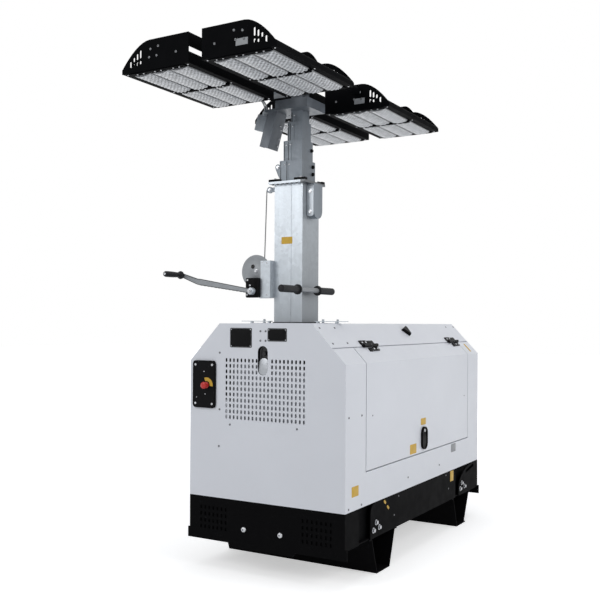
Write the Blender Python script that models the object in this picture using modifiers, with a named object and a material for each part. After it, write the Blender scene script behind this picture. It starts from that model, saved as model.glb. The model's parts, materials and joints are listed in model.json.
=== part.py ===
"""Skid-mounted mobile light tower: steel base on two channel feet, folded-sheet canopy with
two lift-up doors, a square telescopic mast that turns, and four lamps on the mast head.

Run with: blender --background --python part.py
Metres, +Z up. The origin is the middle of the front foot's sole, on the floor. -Y is the end with
the air grille, +X the side of the right-hand door. Lengths "from the end" run along +Y from the
outer face of that end.
"""

import math

import bmesh
import bpy
from mathutils import Matrix, Vector

# Clearances
GAP = 0.0003
SHUT_LINE = 0.006
BEARING_GAP = 0.0008
GUIDE_GAP = 0.0006

# Body
BODY_LENGTH = 1.920
BODY_WIDTH = 0.925
CANOPY_BOTTOM = 0.371
ROOF_TOP = 1.276
CHAMFER_WIDTH = 0.187
CHAMFER_DROP = 0.195
END_SHEET = 0.004
PANEL = 0.025
FRONT_POST = 0.221
REAR_POST = 0.198
DOOR_BOTTOM = 0.544
DOOR_FOLD = 0.105

# Base and feet
TRAY_BOTTOM = 0.190
TRAY_WALL = 0.006
TRAY_RECESS = 0.022
BASE_PLATE = 0.006
FOOT_SHEET = 0.006
FOOT_SOLE = 0.155
FOOT_MOUTH = 0.282
FOOT_FLANGE = 0.026
FOOT_SHORTER = 0.001
REAR_FOOT_LIP = 0.028
FRONT_FOOT_FROM_END = 0.4375
REAR_FOOT_TO_FAR_END = 0.310
BUMPER_DROP = 0.044
BUMPER_MIDDLE_DROP = 0.064
BUMPER_MIDDLE = 0.380
BUMPER_EAR = 0.0115
BUMPER_EAR_TOP = 0.200
FRONT_CORNER_PLATE = 0.150
SIDE_PLATE_FROM_END = 0.280
SIDE_PLATE_TO_FAR_END = 0.420
REAR_LUG_TO_FAR_END = 0.360
LUG_SWEEP = 0.300
LUG_RISE = 0.136
LUG_STEPS = 8
LUG_SLOT_ACROSS = 0.205
LUG_SLOT_DROP = 0.035
LUG_SLOT_LENGTH = 0.150
LUG_SLOT_WIDTH = 0.020
LUG_SLOT_SLOPE_DEG = 10
PLATE_CORNER = 0.055

# Air grille of the end panel
SLOT_WIDTH = 0.011
SLOT_HEIGHT = 0.020
SLOT_PITCH_X = 0.0232
SLOT_PITCH_Z = 0.0293
SLOT_ROWS = 11
GRILLE_BESIDE_CONTROL = 0.0605
GRILLE_RIGHT_MARGIN = 0.220
GRILLE_BOTTOM = 0.784
BASE_SLOT_COLUMNS = 7
BASE_SLOT_ROWS = 4
BASE_SLOT_WIDTH = 0.011
BASE_SLOT_HEIGHT = 0.018
BASE_SLOT_PITCH_X = 0.0262
BASE_SLOT_PITCH_Z = 0.0335
BASE_SLOT_MARGIN = 0.0753
BASE_SLOT_BOTTOM = 0.203
LOUVRE_ROWS = 8
LOUVRE_PITCH = 0.044
LOUVRE_HEIGHT = 0.020
LOUVRE_MARGIN = 0.2325
LOUVRE_BOTTOM = 0.720
SCREEN_BEHIND = 0.030
SCREEN_SHEET = 0.002
SCREEN_LEFT = -0.245
SCREEN_RIGHT = 0.250
SCREEN_BOTTOM = 0.470
SCREEN_TOP = 1.070
SCREEN_NOTCH_LEFT = -0.209
SCREEN_NOTCH_BOTTOM = 0.885
SCREEN_SPACER = 0.012

# Lock recess, control panel and stop button
LOCK_X = -0.0075
LOCK_BOTTOM = 1.015
LOCK_TOP = 1.164
LOCK_WIDTH = 0.060
CONTROL_INSET = 0.0225
CONTROL_WIDTH = 0.144
CONTROL_BOTTOM = 0.834
CONTROL_TOP = 1.081
CONTROL_THICK = 0.010
CONTROL_CORNER = 0.018
BUTTON_ACROSS = 0.090
BUTTON_LEVEL = 0.953
BUTTON_RADIUS = 0.0185
BUTTON_STAND = 0.034
BUTTON_STEM_RADIUS = 0.0115
BUTTON_COLLAR_RADIUS = 0.0165
BUTTON_COLLAR = 0.006
BUTTON_HEAD = 0.018
BUTTON_EDGE = 0.002

# Engine
ENGINE_FROM_END = 0.640
ENGINE_LENGTH = 0.860
ENGINE_WIDTH = 0.560
ENGINE_HEIGHT = 0.700

# Door hinges and latches
HINGE_LENGTH = 0.160
HINGE_LEAF = 0.005
HINGE_UP = 0.040
HINGE_DOWN = 0.032
HINGE_SINK = 0.001
KNUCKLE_RADIUS = 0.009
KNUCKLE_LIFT = 0.0096
KNUCKLE_PLAY = 0.0006
FIRST_HINGE_FROM_END = 0.410
SECOND_HINGE_TO_FAR_END = 0.288
LATCH_OFF_MIDDLE = 0.010
LATCH_WIDTH = 0.075
LATCH_BOTTOM = 0.560
LATCH_TOP = 0.690
LATCH_THICK = 0.012
LATCH_RIM = 0.007
LATCH_POCKET = 0.006
PADDLE_PLAY = 0.002
PADDLE_TOP = 0.648

# Mast
MAST_FROM_END = 0.315
MAST_PIVOT_RADIUS = 0.110
MAST_PIVOT_HEIGHT = 0.020
MAST_TUBE_TOP = 2.025
MAST_FLOOR = 0.012
MAST_COLLAR = 0.060
MAST_FLANGE = 0.222
MAST_FLANGE_THICK = 0.012
ROOF_BUSH_THICK = 0.034
ROOF_BUSH_PROUD = 0.008
ROOF_BUSH_RIM = 0.005
SECTION_STEP = 0.012
GROOVE_WIDTH = 0.004
GROOVE_DEPTH = 0.0015
# Each tube from the outer one inwards: width, wall, top height, how far its middle stands
# to the right of the turning axis, and the same for the groove in its front face
MAST_SECTIONS = (
    (0.172, 0.005, MAST_TUBE_TOP, 0.000, 0.019),
    (0.138, 0.004, 2.140, 0.003, -0.013),
    (0.114, 0.004, 2.246, 0.007, 0.000),
    (0.091, 0.004, 2.345, 0.013, 0.010),
    (0.071, 0.003, 2.405, 0.018, 0.016),
)

# Winch
WINCH_LEVEL = 1.553
WINCH_OUT = 0.0965
WINCH_BOTTOM = 1.413
WINCH_TOP = 1.609
WINCH_NEAR_FROM_END = 0.188
WINCH_FAR_FROM_END = 0.305
WINCH_SHEET = 0.005
WINCH_NEAR_REACH = 0.060
WINCH_FAR_REACH = 0.140
GEAR_RADIUS = 0.089
GEAR_THICK = 0.008
DRUM_RADIUS = 0.018
DRUM_PLAY = 0.004
DRUM_FLANGE_RADIUS = 0.058
DRUM_FLANGE_THICK = 0.006
AXLE_RADIUS = 0.010
BRAKE_WIDTH = 0.080
BRAKE_TOP = 1.518
BRAKE_THICK = 0.030
BRAKE_CORNER = 0.006
CRANK_OUT = 0.0925
CRANK_LEVEL = 1.447
CRANK_ARM = 0.470
CRANK_RISE_DEG = 11.6
CRANK_TUBE_RADIUS = 0.009
CRANK_HUB_RADIUS = 0.019
CRANK_HUB_LENGTH = 0.032
CRANK_GRIP_RADIUS = 0.016
CRANK_GRIP_LENGTH = 0.150
CRANK_STEM = 0.045
ROPE_RADIUS = 0.003
PULLEY_RADIUS = 0.017
PULLEY_THICK = 0.012
PULLEY_LEVEL = 1.990
PULLEY_OUT = 0.040
PULLEY_LUG_RISE = 0.012

# Turning handle and cable guide
HANDLE_OUT = 0.060
HANDLE_LEVEL = 1.449
HANDLE_RADIUS = 0.0125
GRIP_RADIUS = 0.0185
GRIP_FLANGE_RADIUS = 0.026
GRIP_FLANGE_THICK = 0.008
GRIP_EDGE = 0.004
HANDLE_FROM_END = -0.080
HANDLE_TO = 0.447
GRIP_LENGTH = 0.165
HANDLE_BRACKET = 0.060
HANDLE_BRACKET_HEIGHT = 0.020
GUIDE_FROM_END = 0.272
GUIDE_WIDTH = 0.093
GUIDE_BOTTOM = 1.830
GUIDE_THICK = 0.042
GUIDE_FLAT = 0.002

# Head
HEAD_HALF = 0.0975
HEAD_HALF_LENGTH = 0.097
HEAD_BOX_HEIGHT = 0.050
HEAD_PLATE = 0.010
HEAD_PLATE_REACH = 0.165
HEAD_NECK = 0.070
HEAD_BEAM_WIDTH = 0.080
HEAD_BEAM_HEIGHT = 0.052
SHAFT_RADIUS = 0.022
CHANNEL_WIDTH = 0.055
CHANNEL_RIGHT_DEPTH = 0.100
CHANNEL_LEFT_DEPTH = 0.046
CHANNEL_SHEET = 0.004
CHANNEL_TILT_DEG = 16.5
CHANNEL_FOOT_X = -0.1635
CHANNEL_FOOT_LEVEL = 2.221
CHANNEL_LENGTH = 0.250
CHANNEL_FROM_MAST = 0.0775
JUNCTION_WIDTH = 0.060
JUNCTION_HEIGHT = 0.085
JUNCTION_DEPTH = 0.042
JUNCTION_RISE = 0.122

# Lamps: measures across run outwards from a lamp's inner edge, measures up from its bottom
LAMP_LENGTH = 0.710
LAMP_WIDTH = 0.388
LAMP_SPREAD = 0.2308
LAMP_ALONG = 0.560
LAMP_BOTTOM = 2.432
LAMP_HEIGHT = 0.138
LAMP_FLAT_TOP = 0.225
LAMP_TOE = 0.020
LAMP_CURVE = 1.8
LAMP_STEPS = 8
LAMP_PLATE = 0.004
MID_PLATE_TOP = 0.083
MID_PLATE_FLAT = 0.325
MID_PLATE_BOTTOM = 0.0175
LAMP_PIVOT_LEVEL = 2.535
OUTER_RAIL_WIDTH = 0.034
OUTER_RAIL_TOP = 0.034
OUTER_RAIL_EDGE = 0.002
OUTER_RAIL_ROUND = 0.014
INNER_RAIL_WIDTH = 0.030
INNER_RAIL_TOP = 0.030
INNER_FLANGE_TOP = 0.052
INNER_BAND_BOTTOM = 0.076
RAIL_SHEET = 0.004
WELD = 0.0005
FRAME_BOTTOM = 0.002
FRAME_TOP = 0.012
MODULE_SIDE_BAR = 0.004
MODULE_BAR = 0.006
MODULE_END_BAR = 0.036
MODULE_MID_BAR = 0.024
MODULE_COLUMNS = 3
DECK_BOTTOM = 0.018
DECK_TOP = 0.022
DECK_END = 0.012
FIN_COUNT = 10
FIN_THICK = 0.003
FIN_TOP = 0.046
LENS_PLAY = 0.001
LENS_BACK = 0.004
LENS_BACK_END = 0.020
LENS_BACK_SIDE = 0.0015
LENS_BULGE = 0.010
LENS_STEPS = 6
# Vent slots of a lamp's end plates: middle across, bottom and top
VENT_WIDTH = 0.010
VENT_SLOTS = (
    (0.2770, 0.060, 0.098),
    (0.2960, 0.055, 0.085),
    (0.3155, 0.049, 0.070),
    (0.3360, 0.018, 0.054),
    (0.2770, 0.032, 0.050),
    (0.2960, 0.028, 0.046),
    (0.3155, 0.028, 0.040),
)

# Places worked out from the sizes above
HALF_WIDTH = BODY_WIDTH / 2
END_Y = -FRONT_FOOT_FROM_END
MAST_Y = END_Y + MAST_FROM_END
CHAMFER_START = ROOF_TOP - CHAMFER_DROP
ROOF_HALF = HALF_WIDTH - CHAMFER_WIDTH
CHAMFER_LENGTH = math.hypot(CHAMFER_WIDTH, CHAMFER_DROP)
UP_CHAMFER = Vector((-CHAMFER_WIDTH, 0, CHAMFER_DROP)) / CHAMFER_LENGTH
OFF_CHAMFER = Vector((CHAMFER_DROP, 0, CHAMFER_WIDTH)) / CHAMFER_LENGTH
CHAMFER_FOOT = Vector((HALF_WIDTH, 0, CHAMFER_START))
MAST_HALF = MAST_SECTIONS[0][0] / 2
MAST_BOTTOM = TRAY_BOTTOM + TRAY_WALL + MAST_PIVOT_HEIGHT + 2 * GAP
BUSH_RADIUS = MAST_HALF * math.sqrt(2) + ROOF_BUSH_RIM
DOOR_FROM_END = FRONT_POST + SHUT_LINE
DOOR_LENGTH = BODY_LENGTH - FRONT_POST - REAR_POST - 2 * SHUT_LINE
CONTROL_LEFT = CONTROL_INSET - HALF_WIDTH
CONTROL_RIGHT = CONTROL_LEFT + CONTROL_WIDTH
GRILLE_LEFT = CONTROL_RIGHT + GRILLE_BESIDE_CONTROL
GRILLE_SPAN = HALF_WIDTH - GRILLE_RIGHT_MARGIN - GRILLE_LEFT
SLOT_COLUMNS = int((GRILLE_SPAN - SLOT_WIDTH) / SLOT_PITCH_X) + 1
WINCH_X = -(MAST_HALF + WINCH_OUT)
CRANK_X = -(MAST_HALF + CRANK_OUT)
HEAD_LEVEL = MAST_SECTIONS[-1][2]
HEAD_X = MAST_SECTIONS[-1][3]
RAIL_TO_RAIL = (INNER_RAIL_WIDTH, LAMP_WIDTH - OUTER_RAIL_EDGE - OUTER_RAIL_WIDTH)

# Each lamp: name, side along X and side along Y
LAMPS = (
    ("near_right", 1, -1),
    ("near_left", -1, -1),
    ("far_right", 1, 1),
    ("far_left", -1, 1),
)

MATERIALS = {}
BODIES = {}


def from_end(distance):
    """The Y of a point that lies this far from the grille end."""
    return END_Y + distance


def from_far_end(distance):
    """The Y of a point that lies this far before the far end."""
    return END_Y + BODY_LENGTH - distance


def make_materials():
    # name: colour, roughness, metallic
    table = {
        "canopy_white": ((0.86, 0.87, 0.88), 0.38, 0.0),
        "base_black": ((0.020, 0.021, 0.022), 0.50, 0.0),
        "galvanised": ((0.62, 0.65, 0.68), 0.42, 0.85),
        "black_plastic": ((0.022, 0.022, 0.024), 0.50, 0.0),
        "lamp_black": ((0.030, 0.032, 0.035), 0.45, 0.2),
        "lens_white": ((0.88, 0.89, 0.90), 0.25, 0.0),
        "stop_red": ((0.75, 0.04, 0.03), 0.35, 0.0),
        "engine_grey": ((0.20, 0.21, 0.22), 0.55, 0.3),
        "rubber": ((0.020, 0.020, 0.020), 0.75, 0.0),
        "rope_steel": ((0.50, 0.50, 0.50), 0.45, 0.8),
    }
    for name, (colour, roughness, metallic) in table.items():
        made = bpy.data.materials.new(name)
        made.use_nodes = True
        shader = made.node_tree.nodes["Principled BSDF"]
        shader.inputs["Base Color"].default_value = (*colour, 1.0)
        shader.inputs["Roughness"].default_value = roughness
        shader.inputs["Metallic"].default_value = metallic
        MATERIALS[name] = made


def make_collections():
    made = []
    for name in ("mobile_light_tower", "cutters"):
        collection = bpy.data.collections.new(name)
        bpy.context.scene.collection.children.link(collection)
        made.append(collection)
    made[1].hide_render = True
    return made


def make_body(name, place, parent=None):
    """An empty on a joint's axis, which carries the pieces of one moving body."""
    empty = bpy.data.objects.new(f"{name}_axis", None)
    empty.empty_display_size = 0.1
    PARTS.objects.link(empty)
    empty.location = Vector(place)
    if parent:
        empty.parent = BODIES[parent][0]
        empty.location = Vector(place) - BODIES[parent][1]
    BODIES[name] = (empty, Vector(place))


def carry(obj, body, material):
    """Parents a finished object to its body, at the place it already has."""
    empty, place = BODIES[body]
    obj.parent = empty
    obj.location = Vector(obj.location) - place
    obj.data.materials.clear()
    obj.data.materials.append(MATERIALS[material])
    return obj


def new_mesh_object(name, bm, place=(0, 0, 0), collection=None):
    mesh = bpy.data.meshes.new(name)
    bm.to_mesh(mesh)
    bm.free()
    obj = bpy.data.objects.new(name, mesh)
    obj.location = place
    (collection or PARTS).objects.link(obj)
    return obj


def box(name, low, high, collection=None):
    """A box between two corners, with its origin in its middle."""
    low, high = Vector(low), Vector(high)
    bm = bmesh.new()
    bmesh.ops.create_cube(bm, size=1.0)
    bmesh.ops.scale(bm, vec=high - low, verts=bm.verts)
    return new_mesh_object(name, bm, (low + high) / 2, collection)


def cylinder(name, centre, radius, length, axis="Z", segments=32, collection=None):
    turns = {"X": Matrix.Rotation(math.pi / 2, 4, "Y"), "Y": Matrix.Rotation(math.pi / 2, 4, "X")}
    bm = bmesh.new()
    bmesh.ops.create_cone(
        bm, cap_ends=True, segments=segments, radius1=radius, radius2=radius, depth=length
    )
    bmesh.ops.transform(bm, matrix=turns.get(axis, Matrix()), verts=bm.verts)
    obj = new_mesh_object(name, bm, centre, collection)
    obj.data.shade_smooth()
    obj.data.set_sharp_from_angle(angle=math.radians(40))
    return obj


def turned_along_y(name, profile, place, steps=32):
    """Turns a profile of (radius, distance along +Y) about a line along Y through place.

    The profile runs from the far end to the near end, so that the shape faces outwards.
    """
    mesh = bpy.data.meshes.new(name)
    points = [(radius, 0, along) for radius, along in profile]
    mesh.from_pydata(points, [(i, i + 1) for i in range(len(points) - 1)], [])
    obj = bpy.data.objects.new(name, mesh)
    obj.location = place
    obj.rotation_euler = (-math.pi / 2, 0, 0)
    PARTS.objects.link(obj)
    screw = obj.modifiers.new("turn", "SCREW")
    screw.axis = "Z"
    screw.steps = steps
    screw.render_steps = steps
    screw.use_merge_vertices = True
    screw.merge_threshold = 0.00001
    screw.use_smooth_shade = True
    return obj


# Turns of a flat outline: onto an end face, onto a side face, and lying flat.
ON_END = (math.pi / 2, 0, 0)
ON_SIDE = (math.pi / 2, 0, math.pi / 2)
LYING = (0, 0, 0)


def plate(name, outlines, thickness, place, turn):
    """A flat plate from closed outlines: the first is its edge and the others are holes."""
    curve = bpy.data.curves.new(name, "CURVE")
    curve.dimensions = "2D"
    curve.fill_mode = "BOTH"
    curve.extrude = thickness / 2
    for outline in outlines:
        spline = curve.splines.new("POLY")
        spline.points.add(len(outline) - 1)
        for point, (across, up) in zip(spline.points, outline):
            point.co = (across, up, 0, 1)
        spline.use_cyclic_u = True
    obj = bpy.data.objects.new(name, curve)
    obj.location = place
    obj.rotation_euler = turn
    PARTS.objects.link(obj)
    return obj


def as_mesh(obj):
    """The same shape as a mesh, with its loose caps welded, so that it can be cut or joined."""
    bpy.context.view_layer.update()
    graph = bpy.context.evaluated_depsgraph_get()
    mesh = bpy.data.meshes.new_from_object(obj.evaluated_get(graph))
    bm = bmesh.new()
    bm.from_mesh(mesh)
    bmesh.ops.remove_doubles(bm, verts=bm.verts, dist=0.000002)
    bmesh.ops.recalc_face_normals(bm, faces=bm.faces)
    bm.to_mesh(mesh)
    bm.free()
    name = obj.name
    made = bpy.data.objects.new(name, mesh)
    made.matrix_world = obj.matrix_world
    PARTS.objects.link(made)
    bpy.data.objects.remove(obj)
    made.name = name
    return made


def rectangle(left, right, bottom, top):
    return [(left, bottom), (right, bottom), (right, top), (left, top)]


def arc(centre, radius, start_deg, end_deg, steps):
    """Points on an arc, from its start to its end."""
    span = end_deg - start_deg
    angles = [math.radians(start_deg + span * i / steps) for i in range(steps + 1)]
    return [(centre[0] + radius * math.cos(a), centre[1] + radius * math.sin(a)) for a in angles]


def rounded_rectangle(left, right, bottom, top, radius, steps=4):
    points = []
    # centre of each corner's arc, and the angle at which it starts
    corners = (
        (right - radius, top - radius, 0),
        (left + radius, top - radius, 90),
        (left + radius, bottom + radius, 180),
        (right - radius, bottom + radius, 270),
    )
    for across, up, start in corners:
        points += arc((across, up), radius, start, start + 90, steps)
    return points


def capsule(left, right, bottom, top, steps=6):
    """An upright slot with round ends."""
    radius = (right - left) / 2
    middle = (left + right) / 2
    upper = arc((middle, top - radius), radius, 0, 180, steps)
    return upper + arc((middle, bottom + radius), radius, 180, 360, steps)


def slanted_slot(centre, length, width, slope_deg, steps=5):
    """A round-ended slot whose long axis is turned by slope_deg."""
    reach = (length - width) / 2
    points = arc((reach, 0), width / 2, -90, 90, steps)
    points += arc((-reach, 0), width / 2, 90, 270, steps)
    turn = math.radians(slope_deg)
    return [
        (
            centre[0] + across * math.cos(turn) - up * math.sin(turn),
            centre[1] + across * math.sin(turn) + up * math.cos(turn),
        )
        for across, up in points
    ]


def bent_sheet(name, profile, start, length, thickness):
    """A folded sheet: an open profile carried along +Y and thickened to its inner side."""
    bm = bmesh.new()
    carried = Vector((0, length, 0))
    first = [bm.verts.new(Vector(point)) for point in profile]
    last = [bm.verts.new(Vector(point) + carried) for point in profile]
    for i in range(len(profile) - 1):
        bm.faces.new((first[i], last[i], last[i + 1], first[i + 1]))
    obj = new_mesh_object(name, bm, start)
    shell = obj.modifiers.new("sheet", "SOLIDIFY")
    shell.thickness = thickness
    shell.offset = -1
    shell.use_even_offset = True
    return obj


def combine(obj, other, operation):
    """Joins another shape to obj, or cuts it away, and keeps it hidden with the cutters."""
    for collection in list(other.users_collection):
        collection.objects.unlink(other)
    CUTTERS.objects.link(other)
    other.hide_render = True
    other.display_type = "WIRE"
    boolean = obj.modifiers.new(other.name, "BOOLEAN")
    boolean.operation = operation
    boolean.object = other
    boolean.solver = "EXACT"
    return obj


def join(obj, other):
    return combine(obj, other, "UNION")


def cut(obj, other):
    return combine(obj, other, "DIFFERENCE")


def chamfer_point(side, along_chamfer, off_surface=0.0):
    """A point on the sloping shoulder, measured from its lower edge; side is 1 or -1."""
    point = CHAMFER_FOOT + UP_CHAMFER * along_chamfer + OFF_CHAMFER * off_surface
    return Vector((side * point.x, 0, point.z))


def end_outline():
    """The outline of the canopy's end, seen along Y."""
    return [
        (-HALF_WIDTH, CANOPY_BOTTOM),
        (HALF_WIDTH, CANOPY_BOTTOM),
        (HALF_WIDTH, CHAMFER_START),
        (ROOF_HALF, ROOF_TOP),
        (-ROOF_HALF, ROOF_TOP),
        (-HALF_WIDTH, CHAMFER_START),
    ]


def build_base():
    """The tray, whose walls stand in from its floor and rim so that plates can face it."""
    half = HALF_WIDTH - BASE_PLATE - GAP
    start = from_end(BASE_PLATE + GAP)
    end = from_end(BODY_LENGTH - BASE_PLATE - GAP)
    rim = CANOPY_BOTTOM - GAP
    wall = half - TRAY_RECESS
    tray = box("base_frame", (-half, start, TRAY_BOTTOM), (half, end, TRAY_BOTTOM + TRAY_WALL))
    within = TRAY_BOTTOM + TRAY_WALL / 2
    # name, lowest and highest corner of each wall and rim
    walls = (
        ("tray_wall_right", (wall - TRAY_WALL, start, within), (wall, end, rim)),
        ("tray_wall_left", (-wall, start, within), (TRAY_WALL - wall, end, rim)),
        ("tray_wall_front", (-half, start, within), (half, start + TRAY_WALL, rim)),
        ("tray_wall_rear", (-half, end - TRAY_WALL, within), (half, end, rim)),
        ("tray_rim_right", (wall - TRAY_WALL, start, rim - TRAY_WALL), (half, end, rim)),
        ("tray_rim_left", (-half, start, rim - TRAY_WALL), (TRAY_WALL - wall, end, rim)),
    )
    for name, low, high in walls:
        join(tray, box(name, low, high, CUTTERS))
    carry(tray, "chassis", "base_black")

    for name, distance in (("front_bumper", 0), ("rear_bumper", BODY_LENGTH - BASE_PLATE)):
        holes = base_slots() if distance == 0 else []
        place = (0, from_end(distance + BASE_PLATE / 2), 0)
        bumper = plate(name, [bumper_outline()] + holes, BASE_PLATE, place, ON_END)
        carry(bumper, "chassis", "base_black")
    for name, side in (("right", 1), ("left", -1)):
        place = (side * (HALF_WIDTH - BASE_PLATE / 2), END_Y, 0)
        # name, outline and holes
        plates = (
            ("front_corner_plate", [front_corner_outline()]),
            ("side_plate", [side_plate_outline()]),
            ("rear_corner_plate", rear_lug_outlines()),
        )
        for piece, outlines in plates:
            made = plate(f"{piece}_{name}", outlines, BASE_PLATE, place, ON_SIDE)
            carry(made, "chassis", "base_black")


def bumper_outline():
    bottom = TRAY_BOTTOM - BUMPER_DROP
    lowest = TRAY_BOTTOM - BUMPER_MIDDLE_DROP
    middle = BUMPER_MIDDLE / 2
    step = lowest - bottom
    ear = HALF_WIDTH + BUMPER_EAR
    top = CANOPY_BOTTOM - GAP
    right = [
        (middle + step, lowest),
        (middle, bottom),
        (ear, bottom),
        (ear, BUMPER_EAR_TOP),
        (HALF_WIDTH, BUMPER_EAR_TOP),
        (HALF_WIDTH, top),
    ]
    return right + [(-across, up) for across, up in reversed(right)]


def base_slots():
    slots = []
    for side in (1, -1):
        for column in range(BASE_SLOT_COLUMNS):
            for row in range(BASE_SLOT_ROWS):
                across = side * (HALF_WIDTH - BASE_SLOT_MARGIN - column * BASE_SLOT_PITCH_X)
                up = BASE_SLOT_BOTTOM + row * BASE_SLOT_PITCH_Z
                half = BASE_SLOT_WIDTH / 2
                slots.append(rectangle(across - half, across + half, up, up + BASE_SLOT_HEIGHT))
    return slots


def front_corner_outline():
    near = BASE_PLATE + GAP
    far = FRONT_CORNER_PLATE
    top = CANOPY_BOTTOM - GAP
    corner = arc((far - PLATE_CORNER, top - PLATE_CORNER), PLATE_CORNER, 0, 90, 6)
    return [(near, TRAY_BOTTOM), (far, TRAY_BOTTOM)] + corner + [(near, top)]


def side_plate_outline():
    near, far = SIDE_PLATE_FROM_END, BODY_LENGTH - SIDE_PLATE_TO_FAR_END
    top = CANOPY_BOTTOM - GAP
    lift = PLATE_CORNER
    far_corner = arc((far - lift, top - lift), lift, 0, 90, 6)
    near_corner = arc((near + lift, top - lift), lift, 90, 180, 6)
    return [(near, TRAY_BOTTOM), (far, TRAY_BOTTOM)] + far_corner + near_corner


def rear_lug_outlines():
    """The lug behind the rear foot: its upper edge is a quarter ellipse, over a slanting hand slot."""
    near = BODY_LENGTH - REAR_LUG_TO_FAR_END
    far = BODY_LENGTH - BASE_PLATE - GAP
    top = CANOPY_BOTTOM - GAP
    level = top - LUG_RISE
    sweep = [
        (
            near + LUG_SWEEP * (1 - math.sin(math.pi / 2 * i / LUG_STEPS)),
            level + LUG_RISE * math.cos(math.pi / 2 * i / LUG_STEPS),
        )
        for i in range(LUG_STEPS + 1)
    ]
    edge = [(near, TRAY_BOTTOM), (far, TRAY_BOTTOM), (far, top)] + sweep
    slot_middle = (near + LUG_SLOT_ACROSS, top - LUG_SLOT_DROP)
    return [edge, slanted_slot(slot_middle, LUG_SLOT_LENGTH, LUG_SLOT_WIDTH, LUG_SLOT_SLOPE_DEG)]


def foot_outline(lip):
    """The section of a channel foot, from its middle: an open channel that leans outwards.

    The sole runs on by a lip beyond the far side, which then leans from further in.
    """
    top = TRAY_BOTTOM - GAP
    under = top - FOOT_SHEET
    sole, mouth = FOOT_SOLE / 2, FOOT_MOUTH / 2
    outside, inside = [], []
    for side, foot in ((1, sole - lip), (-1, sole)):
        lean = math.atan2(under, mouth - foot)
        inset = FOOT_SHEET / math.sin(lean) - FOOT_SHEET / math.tan(lean)
        outside.append([(side * foot, 0), (side * mouth, under), (side * (mouth + FOOT_FLANGE), under)])
        inside.append(
            [
                (side * (mouth + FOOT_FLANGE), top),
                (side * (mouth - inset), top),
                (side * (foot - inset), FOOT_SHEET),
            ]
        )
        if lip and side > 0:
            over_lip = foot + FOOT_SHEET / math.tan(lean)
            outside[0] = [(sole, 0), (sole, FOOT_SHEET), (over_lip, FOOT_SHEET)] + outside[0][1:]
    far = outside[0] + inside[0]
    near = outside[1] + inside[1]
    return far + near[::-1]


def build_feet():
    length = 2 * (HALF_WIDTH - FOOT_SHORTER)
    # name, Y of its middle, and lip of its sole
    feet = (
        ("front_foot", from_end(FRONT_FOOT_FROM_END), 0.0),
        ("rear_foot", from_far_end(REAR_FOOT_TO_FAR_END), REAR_FOOT_LIP),
    )
    for name, middle, lip in feet:
        foot = plate(name, [foot_outline(lip)], length, (0, middle, 0), ON_SIDE)
        carry(foot, "chassis", "base_black")


def grille_slots():
    """The grille's slots, apart from those that the lock recess takes the place of."""
    slots = []
    for column in range(SLOT_COLUMNS):
        for row in range(SLOT_ROWS):
            left = GRILLE_LEFT + column * SLOT_PITCH_X
            bottom = GRILLE_BOTTOM + row * SLOT_PITCH_Z
            right, top = left + SLOT_WIDTH, bottom + SLOT_HEIGHT
            beside = right < LOCK_X - LOCK_WIDTH / 2 - GAP or left > LOCK_X + LOCK_WIDTH / 2 + GAP
            if beside or top < LOCK_BOTTOM:
                slots.append(rectangle(left, right, bottom, top))
    return slots


def build_canopy():
    recess = capsule(LOCK_X - LOCK_WIDTH / 2, LOCK_X + LOCK_WIDTH / 2, LOCK_BOTTOM, LOCK_TOP)
    front = plate(
        "front_panel",
        [end_outline(), recess] + grille_slots(),
        END_SHEET,
        (0, from_end(END_SHEET / 2), 0),
        ON_END,
    )
    carry(front, "chassis", "canopy_white")
    rear = plate(
        "rear_panel",
        [end_outline()] + rear_louvres(),
        END_SHEET,
        (0, from_end(BODY_LENGTH - END_SHEET / 2), 0),
        ON_END,
    )
    carry(rear, "chassis", "canopy_white")

    post_start = END_SHEET + GAP
    # name, start from the grille end, and length
    posts = (
        ("front_post", post_start, FRONT_POST - post_start),
        ("rear_post", BODY_LENGTH - REAR_POST, REAR_POST - post_start),
    )
    for side_name, side in (("right", 1), ("left", -1)):
        fold = chamfer_point(side, DOOR_FOLD)
        profile = [(side * HALF_WIDTH, 0, CANOPY_BOTTOM), (side * HALF_WIDTH, 0, CHAMFER_START), fold]
        if side < 0:
            profile.reverse()
        for name, start, length in posts:
            place = (0, from_end(start), 0)
            post = bent_sheet(f"{name}_{side_name}", profile, place, length, PANEL)
            carry(post, "chassis", "canopy_white")
        low = (side * HALF_WIDTH, from_end(FRONT_POST + GAP), CANOPY_BOTTOM)
        high = (
            side * (HALF_WIDTH - PANEL),
            from_far_end(REAR_POST + GAP),
            DOOR_BOTTOM - SHUT_LINE,
        )
        low, high = zip(*(sorted(pair) for pair in zip(low, high)))
        carry(box(f"sill_{side_name}", low, high), "chassis", "canopy_white")

    right_edge = chamfer_point(1, DOOR_FOLD + SHUT_LINE)
    left_edge = chamfer_point(-1, DOOR_FOLD + SHUT_LINE)
    profile = [right_edge, (ROOF_HALF, 0, ROOF_TOP), (-ROOF_HALF, 0, ROOF_TOP), left_edge]
    roof = bent_sheet(
        "roof_panel", profile, (0, from_end(post_start), 0), BODY_LENGTH - 2 * post_start, PANEL
    )
    hole = cylinder(
        "roof_hole",
        (0, MAST_Y, ROOF_TOP),
        BUSH_RADIUS + BEARING_GAP,
        4 * PANEL,
        segments=64,
        collection=CUTTERS,
    )
    carry(cut(roof, hole), "chassis", "canopy_white")


def rear_louvres():
    """Wide air slots in the far end panel, for the air that leaves the engine."""
    half = HALF_WIDTH - LOUVRE_MARGIN
    levels = [LOUVRE_BOTTOM + row * LOUVRE_PITCH for row in range(LOUVRE_ROWS)]
    return [rectangle(-half, half, level, level + LOUVRE_HEIGHT) for level in levels]


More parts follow.
